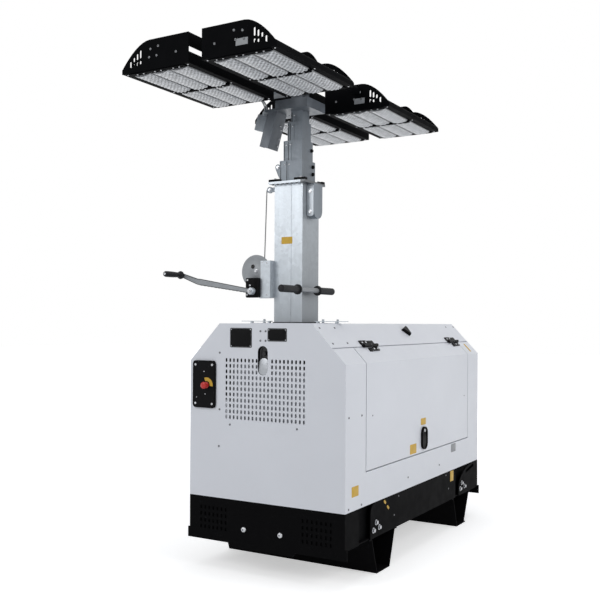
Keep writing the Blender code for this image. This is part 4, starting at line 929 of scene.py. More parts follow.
def laid(shape: Surface, side: Side, along: float, up: float, off: float = 0.0) -> Surface:
    """A shape laid on a side's sloping shoulder, with its own +Y up the slope.

    Args:
        shape: made on z = 0.
        side: the side.
        along: Y of its middle.
        up: distance up the slope.
        off: distance off the sheet.

    Returns:
        The shape in its place.
    """
    return shape.placed(facing(side.shoulder, side.slope), on_shoulder(side.value, (along,), (up,), off)[0])


def near_sheet(edges: Sequence[float], face: float, thickness: float, radius: float, edge: float) -> Surface:
    """A slab that faces the near end.

    Args:
        edges: its left, right, bottom and top.
        face: Y of what it lies on.
        thickness: of the slab.
        radius: of its corners.
        edge: radius of its outer edge.

    Returns:
        The slab in its place.
    """
    left, right, bottom, top = edges
    flat = slab(right - left, top - bottom, thickness, radius, edge)
    return flat.placed(facing(Axis.NEAR), ((left + right) / 2, face, (bottom + top) / 2))


@dataclass
class Grille:
    """The round-ended slots of the end panel's air grille, and that panel's small screws.

    Attributes:
        left: left edge of the first slot.
        bottom: lower edge of the lowest slots.
        columns: slots in a row.
        rows: slots in a column.
        pitch: from slot to slot, across and up.
        slot: a slot's width and height.
        sheet: thickness of the panel.
        gap: how far a liner's outside stands in from the square hole.
        rim: how far the round end stands in from the square hole.
        lock: left, right and lower edge of the place that the lock takes.
        foam: left, right, bottom and top of the black foam strips on the screen behind.
        foam_face: Y of the screen that they lie on.
        screws: X and Z of the screws.
    """

    left: float = -0.2355
    bottom: float = 0.784
    columns: int = 21
    rows: int = 11
    pitch: tuple[float, float] = (0.0232, 0.0293)
    slot: tuple[float, float] = (0.011, 0.020)
    sheet: float = 0.004
    gap: float = 0.00002
    rim: float = 0.0002
    lock: tuple[float, float, float] = (-0.0378, 0.0228, 1.015)
    foam: Spots = ((-0.275, -0.2225, 0.843, 1.074), (-0.275, -0.042, 1.075, 1.105), (0.062, 0.246, 1.046, 1.105))
    foam_face: float = END_Y + 0.0338
    screws: Spots = (
        (-0.022, 1.238),
        (-0.022, 1.190),
        (0.009, 1.238),
        (0.009, 1.190),
        (-0.273, 1.124),
        (-0.273, 0.830),
        (-0.207, 0.755),
        (-0.276, 0.639),
        (0.195, 0.758),
    )

    def middles(self) -> np.ndarray:
        """Middles of the slots, apart from those that the lock takes the place of.

        Returns:
            An array of (slots, 3).
        """
        width, height = self.slot
        across = self.left + width / 2 + self.pitch[0] * np.arange(self.columns)
        up = self.bottom + height / 2 + self.pitch[1] * np.arange(self.rows)
        across, up = (grid.ravel() for grid in np.meshgrid(across, up))
        left, right, bottom = self.lock
        keep = (across + width / 2 < left) | (across - width / 2 > right) | (up + height / 2 < bottom)
        return np.column_stack((across, np.full(len(up), END_Y), up))[keep]

    def liner(self, top: float, bottom: float) -> Surface:
        """What turns a square hole into a round-ended slot: rings that run round the hole and back through it.

        Each ring's point is a half circle's centre plus a radius times a direction. The outer rings
        stretch the direction until it meets the square hole.

        Args:
            top: level of its face, 0 being the panel's.
            bottom: level of its back.

        Returns:
            The closed liner.
        """
        count = 6
        angle = np.concatenate((np.linspace(0, np.pi, count), np.linspace(np.pi, 2 * np.pi, count)))
        radius = self.slot[0] / 2
        centre = np.outer(np.repeat((1.0, -1.0), count), (0.0, self.slot[1] / 2 - radius))
        round_way = np.column_stack((np.cos(angle), np.sin(angle)))
        square_way = round_way / np.abs(round_way).max(axis=1, keepdims=True)
        outside, inside = radius - self.gap, radius - self.rim
        # direction, radius and level of each ring
        steps = (
            (square_way, outside, bottom),
            (square_way, outside, top),
            (round_way, inside, top),
            (round_way, inside, bottom),
        )
        return stacked(((far * way + centre, level) for way, far, level in steps), loop=True)

    def build(self) -> None:
        """Builds the slots' faces, their walls in painted shade, the foam strips and the screws."""
        places = self.middles()
        scattered(self.liner(0.0, -0.0004), places, Axis.NEAR).piece("grille_slots", "chassis", WHITE_PAINT)
        # the slots' inner walls in dark grey: painted shade
        walls = scattered(self.liner(-0.0006, -self.sheet), places, Axis.NEAR)
        walls.piece("grille_slot_walls", "chassis", PAINTED_SLOT_SHADE)
        foams = Surface.joined(near_sheet(edges, self.foam_face, 0.0016, 0.001, 0.0003) for edges in self.foam)
        foams.piece("grille_foam", "chassis", BLACK_FILM)
        screws("end_panel_screws", "chassis", SCREW_STEEL, PANEL_SCREW, end_spots(self.screws), Axis.NEAR)


@dataclass
class ControlBox:
    """The trim of the control panel: its rim, its screws and the blank yellow sector beside the button.

    Attributes:
        middle: X and Z of the panel's middle.
        size: the panel's width and height.
        face: Y of its face.
        button: X and Z of the stop button's axis.
        screw_span: width and height between the corner screws.
        small_screws: X and Z of the small screws.
    """

    middle: tuple[float, float] = (-0.368, 0.9575)
    size: tuple[float, float] = (0.144, 0.247)
    face: float = END_Y - 0.0103
    button: tuple[float, float] = (-0.350, 0.953)
    screw_span: tuple[float, float] = (0.107, 0.203)
    small_screws: Spots = ((-0.359, 0.906), (-0.366, 1.024), (-0.415, 0.888))

    def sector(self, inner: float, outer: float, start_deg: float, end_deg: float, thickness: float) -> Surface:
        """A flat piece of a ring: its four-cornered section carried round an arc.

        Args:
            inner: inner radius.
            outer: outer radius.
            start_deg: angle at which it starts.
            end_deg: angle at which it ends.
            thickness: of the piece.

        Returns:
            The closed piece, lying on z = 0 round the origin.
        """
        angle = np.radians(np.linspace(start_deg, end_deg, 20))[:, None]
        radius = np.array((inner, outer, outer, inner))[None, :]
        level = np.broadcast_to(np.array((0.0, 0.0, thickness, thickness))[None, :], (20, 4))
        return lofted(np.stack((radius * np.cos(angle), radius * np.sin(angle), level), axis=-1))

    def build(self) -> None:
        """Builds the rim, the screws, the sector and the collar."""
        turn = facing(Axis.NEAR)
        centre = (self.middle[0], self.face, self.middle[1])
        width, height = self.size
        rim = banded(width - 0.003, height - 0.003, 0.0165, 0.0055, 0.0024, 0.0009)
        rim.placed(turn, centre).piece("control_rim", "chassis", BLACK_PLASTIC)
        corners = corners_of(centre, *self.screw_span)
        screws("control_screws", "chassis", BRIGHT_STEEL, (0.0068, 0.0045), corners, Axis.NEAR)
        small = [(across, self.face, up) for across, up in self.small_screws]
        screws("control_small_screws", "chassis", BRIGHT_STEEL, (0.0032, 0.0022), small, Axis.NEAR)
        place = (self.button[0], self.face, self.button[1])
        sector = self.sector(0.021, 0.040, -8.0, 112.0, 0.0008)
        sector.placed(turn, place).piece("button_sector", "chassis", YELLOW_FILM)
        collar = banded(0.042, 0.042, 0.0209, 0.0035, 0.0032, 0.0010)
        collar.placed(turn, place).piece("button_collar", "chassis", BLACK_PLASTIC)


@dataclass
class Lock:
    """The recessed lock over the grille: a round-ended cup, its pull and its key barrel.

    Attributes:
        middle: X and Z of its middle.
        size: width and height of the hole that it sits in.
        depth: of the cup, behind the panel's face.
    """

    middle: tuple[float, float] = (-0.0075, 1.0895)
    size: tuple[float, float] = (0.060, 0.149)
    depth: float = 0.0235

    def cup(self) -> Surface:
        """The cup: round-ended outlines from its floor up to its rim, over it and back down its outside.

        Returns:
            The closed cup, with its opening towards +z.
        """
        # how far each outline stands in from the hole's edge, and its level
        steps = (
            (0.024, -self.depth + 0.002),
            (0.008, -self.depth + 0.002),
            (0.003, -self.depth + 0.006),
            (0.0014, -0.0012),
            (0.0008, -0.0004),
            (0.0002, -0.0006),
            (0.0002, -self.depth),
            (0.024, -self.depth),
        )
        sizes = [(self.size[0] - 2 * inset, self.size[1] - 2 * inset, level) for inset, level in steps]
        return stacked((rounded_outline(wide, high, wide / 2 - 0.00005, 8), level) for wide, high, level in sizes)

    def build(self) -> None:
        """Builds the cup, the pull that fills its lower half and the key barrel over it."""
        across, level = self.middle
        near = facing(Axis.NEAR)
        self.cup().placed(near, (across, END_Y, level)).piece("lock_cup", "chassis", GLOSS_BLACK)
        pull = slab(0.0560, 0.0860, 0.0040, 0.0270, 0.0012, 8)
        leaning = facing((0.0, -1.0, 0.13))
        pull.placed(leaning, (across, END_Y + 0.0107, level - 0.0305)).piece("lock_pull", "chassis", PALE_STEEL)
        barrel = revolved([(0.0125, 0.0), (0.0125, 0.010), (0.0115, 0.012), (0.0080, 0.0125), (0.0075, 0.0105)], 20)
        barrel.placed(near, (across, END_Y + 0.0210, level + 0.036)).piece("lock_barrel", "chassis", GLOSS_BLACK)


@dataclass
class Plates:
    """Blank plates and films: nothing is printed on them.

    Attributes:
        end_plates: left, right, bottom and top of the black plates on the end panel.
        ovals: Y and Z of the two small yellow ovals on the base.
        oval_up: the direction across an oval, which leans.
        mast_film: left, right, bottom and top of the film on the mast's near face.
    """

    end_plates: Spots = ((-0.208, -0.074, 1.153, 1.253), (0.021, 0.134, 1.187, 1.253))
    ovals: Spots = ((0.013, 0.350), (0.052, 0.316))
    oval_up: tuple[float, float, float] = (0.0, 0.6, 0.8)
    mast_film: tuple[float, ...] = (-0.042, 0.025, 1.696, 1.733)

    def films(self) -> tuple[tuple[str, Finish, float, float, float, float], ...]:
        """Body, finish, first Y, last Y, bottom and top of each film on the right flank.

        Returns:
            One row for each film.
        """
        return (
            ("door_right", YELLOW_FILM, 0.495, 0.569, 0.700, 0.738),
            ("door_right", YELLOW_FILM, 0.340, 0.430, 0.552, 0.606),
            ("chassis", YELLOW_FILM, -0.369, -0.295, 0.438, 0.489),
            ("chassis", GREY_FILM, 0.982, 1.062, 0.482, 0.533),
            ("chassis", YELLOW_FILM, 0.971, 1.026, 0.303, 0.366),
        )

    def build(self) -> None:
        """Builds the plates and the films."""
        near = facing(Axis.NEAR)
        plates, lines, rivets = [], [], []
        thickness = 0.0012
        for edges in self.end_plates:
            left, right, bottom, top = edges
            width, height = right - left, top - bottom
            across, level = (left + right) / 2, (bottom + top) / 2
            plates.append(near_sheet(edges, END_Y, thickness, 0.006, 0.0004))
            line = banded(width - 0.005, height - 0.005, 0.0040, 0.0011, 0.0016, 0.0002)
            lines.append(line.placed(near, (across, END_Y, level)))
            corners = corners_of((across, END_Y - thickness, level), width - 0.016, height - 0.016)
            rivets.append(scattered(button_screw(0.0028, 0.0014), corners, Axis.NEAR))
        Surface.joined(plates).piece("end_plates", "chassis", BLACK_FILM)
        Surface.joined(lines).piece("end_plate_lines", "chassis", GREY_FILM)
        Surface.joined(rivets).piece("end_plate_rivets", "chassis", BRIGHT_STEEL)
        for number, (body, finish, start, end, bottom, top) in enumerate(self.films(), start=1):
            film = slab(end - start, top - bottom, 0.0007, 0.004, 0.0003)
            place = (HALF_WIDTH, (start + end) / 2, (bottom + top) / 2)
            film.placed(facing(Axis.RIGHT), place).piece(f"flank_film_{number}", body, finish)
        oval = slab(0.030, 0.014, 0.0008, 0.0068, 0.0003)
        places = [(HALF_WIDTH, along, up) for along, up in self.ovals]
        scattered(oval, places, Axis.RIGHT, self.oval_up).piece("base_ovals", "chassis", YELLOW_FILM)
        film = near_sheet(self.mast_film, MAST_Y - MAST_HALF, 0.0007, 0.003, 0.0003)
        film.piece("mast_film", "mast_base", YELLOW_FILM)
        strip = slab(0.024, 0.068, 0.0007, 0.003, 0.0003)
        laid(strip, Side.RIGHT, 1.380, 0.055).piece("shoulder_film", "chassis", YELLOW_FILM)


@dataclass
class CanopyTrim:
    """Screws of the canopy and the doors, the door stop, and the plate round the mast on the roof.

    Attributes:
        post_screws: Y and Z of the screws in the posts and sills.
        door_screws: Y and Z of the screws in each door.
        shoulder_screws: Y and distance up the slope of the screws in each shoulder.
        stop: corners of the door stop's outline, along the roof and up the slope.
        bar_shift: from the mast's axis to the roof bars, along.
    """

    post_screws: Spots = (
        (-0.402, 0.826),
        (-0.263, 0.826),
        (-0.402, 0.387),
        (-0.263, 0.387),
        (0.314, 0.432),
        (0.783, 0.434),
    )
    door_screws: Spots = ((-0.139, 0.814), (1.215, 0.818))
    shoulder_screws: Spots = (
        (-0.395, 0.242),
        (-0.240, 0.242),
        (-0.391, 0.137),
        (-0.237, 0.137),
        (1.321, 0.242),
        (1.460, 0.242),
    )
    stop: Spots = ((-0.036, 0.012), (0.010, -0.036), (0.022, -0.030), (0.036, 0.024), (0.030, 0.032))
    bar_shift: float = -0.0315

    def build_side(self, side: Side) -> None:
        """Builds one side's screws.

        Args:
            side: the side.
        """
        word, flank = side.word, side.value * HALF_WIDTH
        places = [(flank, along, up) for along, up in self.post_screws]
        screws(f"post_screws_{word}", "chassis", SCREW_STEEL, PANEL_SCREW, places, side.outward)
        places = [(flank, along, up) for along, up in self.door_screws]
        screws(f"door_screws_{word}", f"door_{word}", SCREW_STEEL, (0.004, 0.002), places, side.outward)
        along, up = np.array(self.shoulder_screws).T
        places = on_shoulder(side.value, along, up)
        screws(f"shoulder_screws_{word}", "chassis", SCREW_STEEL, PANEL_SCREW, places, side.shoulder, side.slope)

    def build(self) -> None:
        """Builds both sides' screws, the stop, and the roof's plate, studs and bars."""
        for side in Side:
            self.build_side(side)
        stop = extruded(np.array(self.stop), 0.018, 0.004)
        laid(stop, Side.RIGHT, 0.596, 0.209).piece("shoulder_stop", "chassis", BLACK_PLASTIC)
        plate = banded(0.400, 0.300, 0.020, 0.014, 0.0035, 0.0010)
        plate.placed(np.eye(3), (0.0, MAST_Y, ROOF_TOP)).piece("roof_plate", "chassis", WHITE_PAINT)
        bar_y = MAST_Y + self.bar_shift
        studs = [(side * 0.182, along, ROOF_TOP) for side in (1, -1) for along in (bar_y, MAST_Y + 0.130)]
        scattered(hex_bolt(0.0065, 0.024), studs, Axis.UP, Axis.FAR).piece("roof_studs", "chassis", ZINC)
        bar, foot = slab(0.190, 0.024, 0.0040, 0.003, 0.0010), slab(0.012, 0.018, 0.0108, 0.002, 0.0005)
        bars = []
        for side in (-1, 1):
            bars.append(bar.placed(np.eye(3), (side * 0.2300, bar_y, ROOF_TOP + 0.0105)))
            feet = [(side * across, bar_y, ROOF_TOP) for across in (0.150, 0.262)]
            bars.append(scattered(foot, feet, Axis.UP, Axis.FAR))
        Surface.joined(bars).piece("roof_bars", "chassis", ZINC)


@dataclass
class DoorFittings:
    """Black covers on the doors' hinge leaves, the hinges' bolts, and the flush latches' rims and barrels.

    Attributes:
        middles: Y of each hinge's middle.
        seam: distance up the slope of the hinge line.
        half: half of a hinge's length.
        leaf_top: height of a leaf over the sheet.
        axis_off: height of the hinge's axis over the sheet.
        latch: Y of the latches' middle, and the bottom and top of them.
    """

    middles: tuple[float, float] = (-0.0275, 1.1945)
    seam: float = 0.108
    half: float = 0.080
    leaf_top: float = 0.0053
    axis_off: float = 0.0096
    latch: tuple[float, float, float] = (0.5325, 0.560, 0.690)

    def leaf_cover(self, side: Side, middle: float) -> Surface:
        """A cover over a door's hinge leaf, with the sleeve round its knuckle.

        Args:
            side: the door's side.
            middle: Y of the hinge's middle.

        Returns:
            Cover and sleeve in their places.
        """
        leaf = slab(self.half - 0.0006, 0.0250, self.leaf_top + 0.0006, 0.004, 0.0012)
        leaf = laid(leaf, side, middle + self.half / 2, self.seam - 0.0200, 0.0001)
        ends = on_shoulder(side.value, (middle + 0.0010, middle + self.half - 0.0008), (self.seam,) * 2, self.axis_off)
        return Surface.joined((leaf, tube(ends, 0.0093, 20)))

    def flat_leaf(self, side: Side, along: float, up: float, length: float) -> Surface:
        """A flat leaf on the slope, beside a knuckle."""
        return laid(slab(length, 0.0230, self.leaf_top, 0.003, 0.0010), side, along, up)

    def build_side(self, side: Side) -> None:
        """Builds one side's hinge covers, bolts and latch trim.

        Args:
            side: the side.
        """
        word, body = side.word, f"door_{side.word}"
        covers = [self.leaf_cover(side, middle) for middle in self.middles]
        covers += [self.flat_leaf(side, middle - 0.0185, self.seam - 0.0230, 0.0360) for middle in self.middles]
        Surface.joined(covers).piece(f"hinge_covers_{word}", body, BLACK_PLASTIC)
        fixed = [self.flat_leaf(side, middle + 0.0385, self.seam + 0.0255, 0.0760) for middle in self.middles]
        Surface.joined(fixed).piece(f"hinge_leaves_{word}", "chassis", BLACK_PLASTIC)
        for name, owner, shift, up in (("fixed", "chassis", -1, 0.024), ("moving", body, 1, -0.021)):
            along = [middle + shift * step for middle in self.middles for step in (0.018, 0.060)]
            places = on_shoulder(side.value, along, [self.seam + up] * len(along), self.leaf_top + 0.0006)
            title = f"hinge_bolts_{name}_{word}"
            screws(title, owner, BRIGHT_STEEL, (0.0062, 0.0042), places, side.shoulder, side.slope)
        middle, bottom, top = self.latch
        face, turn = side.value * (HALF_WIDTH + 0.0123), facing(side.outward)
        rim = banded(0.0745, top - bottom - 0.0005, 0.0371, 0.0055, 0.0014, 0.0006)
        rim.placed(turn, (face, middle, (bottom + top) / 2)).piece(f"latch_rim_{word}", body, BLACK_PLASTIC)
        barrel = revolved([(0.0095, 0.0), (0.0095, 0.004), (0.0085, 0.005), (0.0050, 0.0052), (0.0045, 0.0035)], 18)
        place = (face - side.value * 0.0060, middle, top - 0.022)
        barrel.placed(turn, place).piece(f"latch_barrel_{word}", body, BRIGHT_STEEL)

    def build(self) -> None:
        """Builds both sides."""
        for side in Side:
            self.build_side(side)


@dataclass
class BaseFittings:
    """Bolts of the steel base.

    Attributes:
        clusters: Y and Z of the bolts that hold each foot to the side plates.
        small: Y and Z of small screws along the side plates.
        bumper: X and Z of the round bolts on the near bumper.
    """

    clusters: Spots = (
        (-0.095, 0.266),
        (-0.058, 0.235),
        (-0.127, 0.231),
        (1.176, 0.263),
        (1.227, 0.235),
        (1.149, 0.231),
    )
    small: Spots = ((0.187, 0.352), (0.130, 0.260), (0.894, 0.354), (0.940, 0.266))
    bumper: Spots = ((-0.1164, 0.2259), (0.1018, 0.2251))

    def build(self) -> None:
        """Builds the bolts of both sides and of the near bumper."""
        for side in Side:
            flank, word = side.value * HALF_WIDTH, side.word
            places = [(flank, along, up) for along, up in self.clusters]
            bolts = scattered(hex_bolt(0.0105, 0.011), places, side.outward)
            bolts.piece(f"foot_bolts_{word}", "chassis", BRIGHT_STEEL)
            places = [(flank, along, up) for along, up in self.small]
            screws(f"base_screws_{word}", "chassis", SCREW_STEEL, (0.005, 0.003), places, side.outward)
        screws("bumper_bolts", "chassis", BRIGHT_STEEL, (0.0150, 0.0110), end_spots(self.bumper), Axis.NEAR)


@dataclass
class MastTrim:
    """Pads, knobs and bolts at the mast's top, the channel's bolts, and the handle's bare tube.

    Attributes:
        pad: size of a black pad on the flange, along X, Y and Z.
        pad_spread: from the mast's axis to the pads' middles, across and along.
        flange_under: level of the flange's underside, and X of the outer bolts in it.
        lines: number of each sliding tube and X of its joint line.
        knobs: body, X of the tube's right face, and level of each black knob.
        channel_bolts: X, Y and Z of the bolts in the leaning channel's right flange.
        handle: X and level of the turning handle.
        handle_ends: Y of the ends of its grips.
        grip: length of a grip.
        eye: X and Z of the lug's eye, and the radius round it.
        guide: X, Y and Z of the cable guide's plate.
    """

    pad: tuple[float, float, float] = (0.068, 0.030, 0.013)
    pad_spread: tuple[float, float] = (0.078, 0.094)
    flange_under: tuple[float, float] = (2.0128, 0.088)
    lines: tuple[tuple[int, float], ...] = ((2, -0.022), (3, -0.020), (4, -0.016), (5, -0.012))
    knobs: tuple[tuple[str, float, float], ...] = (
        ("mast_section_2", 0.0720, 2.073),
        ("mast_section_2", 0.0720, 2.112),
        ("mast_section_3", 0.0640, 2.200),
    )
    channel_bolts: Spots = (
        (-0.0994, -0.1320, 2.3410),
        (-0.1050, -0.1180, 2.3222),
        (-0.1187, -0.1150, 2.2752),
        (-0.1294, -0.1145, 2.2391),
    )
    handle: tuple[float, float] = (0.146, 1.449)
    handle_ends: tuple[float, float] = (END_Y - 0.080, END_Y + 0.447)
    grip: float = 0.1655
    eye: tuple[float, float, float] = (-0.1000, 2.1150, 0.0165)
    guide: tuple[float, float, float] = (0.1078, -0.1657, 1.9240)

    def build_pads(self) -> None:
        """Black pads on the flange's corners, each with a bolt, and the bolts under the flange."""
        width, depth, height = self.pad
        across, along = self.pad_spread
        level = FLANGE_TOP + 0.0002
        places = [(side * across, MAST_Y + end * along, level) for side in (1, -1) for end in (1, -1)]
        pads = scattered(slab(width, depth, height, 0.004, 0.002), places, Axis.UP, Axis.FAR)
        pads.piece("flange_pads", "mast_base", BLACK_PLASTIC)
        tops = [(x, y, z + height) for x, y, z in places]
        scattered(hex_bolt(0.0065, 0.006), tops, Axis.UP, Axis.FAR).piece("pad_bolts", "mast_base", BRIGHT_STEEL)
        level, outer = self.flange_under
        under = [(x, MAST_Y - FLANGE_HALF + 0.010, level) for x in np.linspace(-outer, outer, 7)]
        scattered(hex_bolt(0.006, 0.005), under, Axis.DOWN, Axis.FAR).piece("flange_bolts", "mast_base", SCREW_STEEL)

    def build_lines(self) -> None:
        """Two dark joint lines down the near face of each sliding tube, and two screws at its head."""
        for number, across in self.lines:
            body = f"mast_section_{number}"
            low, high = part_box(body)
            level = (low[2] + high[2]) / 2
            strip = slab(0.0032, high[2] - low[2] - 0.012, 0.0003, 0.0004, 0.0001)
            strips = scattered(strip, [(across, low[1], level), (low[0] + 0.0065, low[1], level)], Axis.NEAR)
            strips.piece(f"section_lines_{number}", body, BLACK_FILM)
            heads = [(across + shift, low[1], high[2] - 0.022) for shift in (-0.014, 0.014)]
            screws(f"section_screws_{number}", body, BRIGHT_STEEL, (0.0042, 0.0026), heads, Axis.NEAR)

    def build_knobs(self) -> None:
        """The black knobs on the sliding tubes' right faces."""
        profile = ((0.0095, 0.0), (0.0100, 0.003), (0.0090, 0.008), (0.0055, 0.0115), (0.0020, 0.0125))
        for number, (body, face, level) in enumerate(self.knobs, start=1):
            knob = revolved(profile, 18).placed(facing(Axis.RIGHT), (face, MAST_Y + 0.040, level))
            knob.piece(f"section_knob_{number}", body, BLACK_PLASTIC)

    def build_lug(self) -> None:
        """The lug at the second tube's left: a rounded outline carried through its thickness."""
        across, level, radius = self.eye
        turn = np.linspace(0.05 * np.pi, 1.15 * np.pi, 12)
        head = np.column_stack((radius * np.cos(turn) + across, radius * np.sin(turn) + level))
        outline = np.concatenate(([(-0.0725, 2.048), (-0.0725, 2.118)], head, [(across, 2.072), (-0.086, 2.048)]))
        rings = [np.insert(outline, 1, MAST_Y - 0.030 + step, axis=1) for step in (-0.003, 0.003)]
        lofted(np.stack(rings)).piece("section_lug", "mast_section_2", OLD_ZINC)
        bolt = hex_bolt(0.0070, 0.007).placed(facing(Axis.NEAR), (across, MAST_Y - 0.033, level))
        bolt.piece("section_lug_bolt", "mast_section_2", BRIGHT_STEEL)

    def build_handle(self) -> None:
        """The handle's bare tube between its grips, and the caps of the grips."""
        across, level = self.handle
        near, far = self.handle_ends
        path = np.array([(across, near + self.grip, level), (across, far - self.grip, level)])
        tube(path, 0.0129, 24).piece("handle_tube", "mast_base", DULL_ZINC)
        cap = revolved(((0.0135, -0.001), (0.0135, 0.0002), (0.0120, 0.0012), (0.0040, 0.0016)), 20)
        for name, spot, axis in (("near", near, Axis.NEAR), ("far", far, Axis.FAR)):
            cap.placed(facing(axis), (across, spot, level)).piece(f"grip_cap_{name}", "mast_base", GRIP_RUBBER)

    def build(self) -> None:
        """Builds the pads, lines, knobs and bolts, the lug, the handle's parts and the guide's plate."""
        self.build_pads()
        self.build_lines()
        self.build_knobs()
        outward = (math.cos(HEAD_TILT), 0.0, -math.sin(HEAD_TILT))
        screws("channel_bolts", "mast_section_5", BRIGHT_STEEL, (0.0060, 0.0040), self.channel_bolts, outward)
        self.build_lug()
        self.build_handle()
        plate = slab(0.0400, 0.166, 0.0030, 0.0120, 0.0008).placed(facing(Axis.NEAR), self.guide)
        plate.piece("guide_plate", "mast_base", ZINC)
        spots = [(0.108, self.guide[1] - 0.0030, level) for level in (1.969, 1.862)]
        scattered(hex_bolt(0.0085, 0.006), spots, Axis.NEAR).piece("guide_bolts", "mast_base", BRIGHT_STEEL)


@dataclass
class HeadCables:
    """The two short cables that rise from the junction box into the left pivot shaft, and their glands.

    Attributes:
        diameter: of a cable.
        box_top: the middle of the junction box's upper end.
        shaft: X and Z where a cable enters the shaft.
        runs: for each cable, from the box's middle to its gland, along, and Y where it enters the shaft.
        gland: how far a gland reaches along its cable.
        pulls: distances over which a cable keeps its direction, from the gland and into the shaft.
    """

    diameter: float = 0.008
    box_top: tuple[float, float, float] = (-0.1721, -0.179, 2.3953)
    shaft: tuple[float, float] = (-0.2128, 2.5145)
    runs: Spots = ((-0.0105, -0.262), (0.0105, -0.232))
    gland: float = 0.018
    pulls: tuple[float, float] = (0.055, 0.050)

    @property
    def entry(self) -> np.ndarray:
        """The direction in which a cable enters the shaft."""
        way = np.array((-0.65, -0.45, 0.60))
        return way / np.linalg.norm(way)

    def bend(self, start: np.ndarray, leaving: np.ndarray, arriving: np.ndarray, end: np.ndarray) -> np.ndarray:
        """A cubic curve: the four points weighted by 1, 3, 3, 1 times powers of the share and its rest.

        Args:
            start: first point.
            leaving: point towards which it leaves the first one.
            arriving: point from which it comes to the last one.
            end: last point.

        Returns:
            An array of (36, 3).
        """
        share = np.linspace(0, 1, 36)[:, None]
        rest = 1 - share
        return rest**3 * start + 3 * rest**2 * share * leaving + 3 * rest * share**2 * arriving + share**3 * end

    def build(self) -> None:
        """Builds each gland, and the cable that leaves it."""
        rising = np.array((math.sin(HEAD_TILT), 0.0, math.cos(HEAD_TILT)))
        sleeve = revolved(((0.0075, 0.009), (0.0070, 0.018), (0.0048, 0.021)), 16)
        gland = Surface.joined((hex_bolt(0.0085, 0.010), sleeve))
        for number, (shift, end_y) in enumerate(self.runs, start=1):
            foot = np.array(self.box_top) + (0.0, shift, 0.0)
            gland.placed(facing(rising), foot).piece(f"cable_gland_{number}", "mast_section_5", ZINC)
            start = foot + self.gland * rising
            end = np.array((self.shaft[0], end_y, self.shaft[1]))
            leaving, arriving = self.pulls
            path = self.bend(start, start + leaving * rising, end - arriving * self.entry, end)
            jacket = tube(path, self.diameter / 2, 12, up=(0.3, 0.1, -0.05))
            cable = jacket.piece(f"head_cable_{number}", "mast_section_5", GREY_CABLE, 60.0)


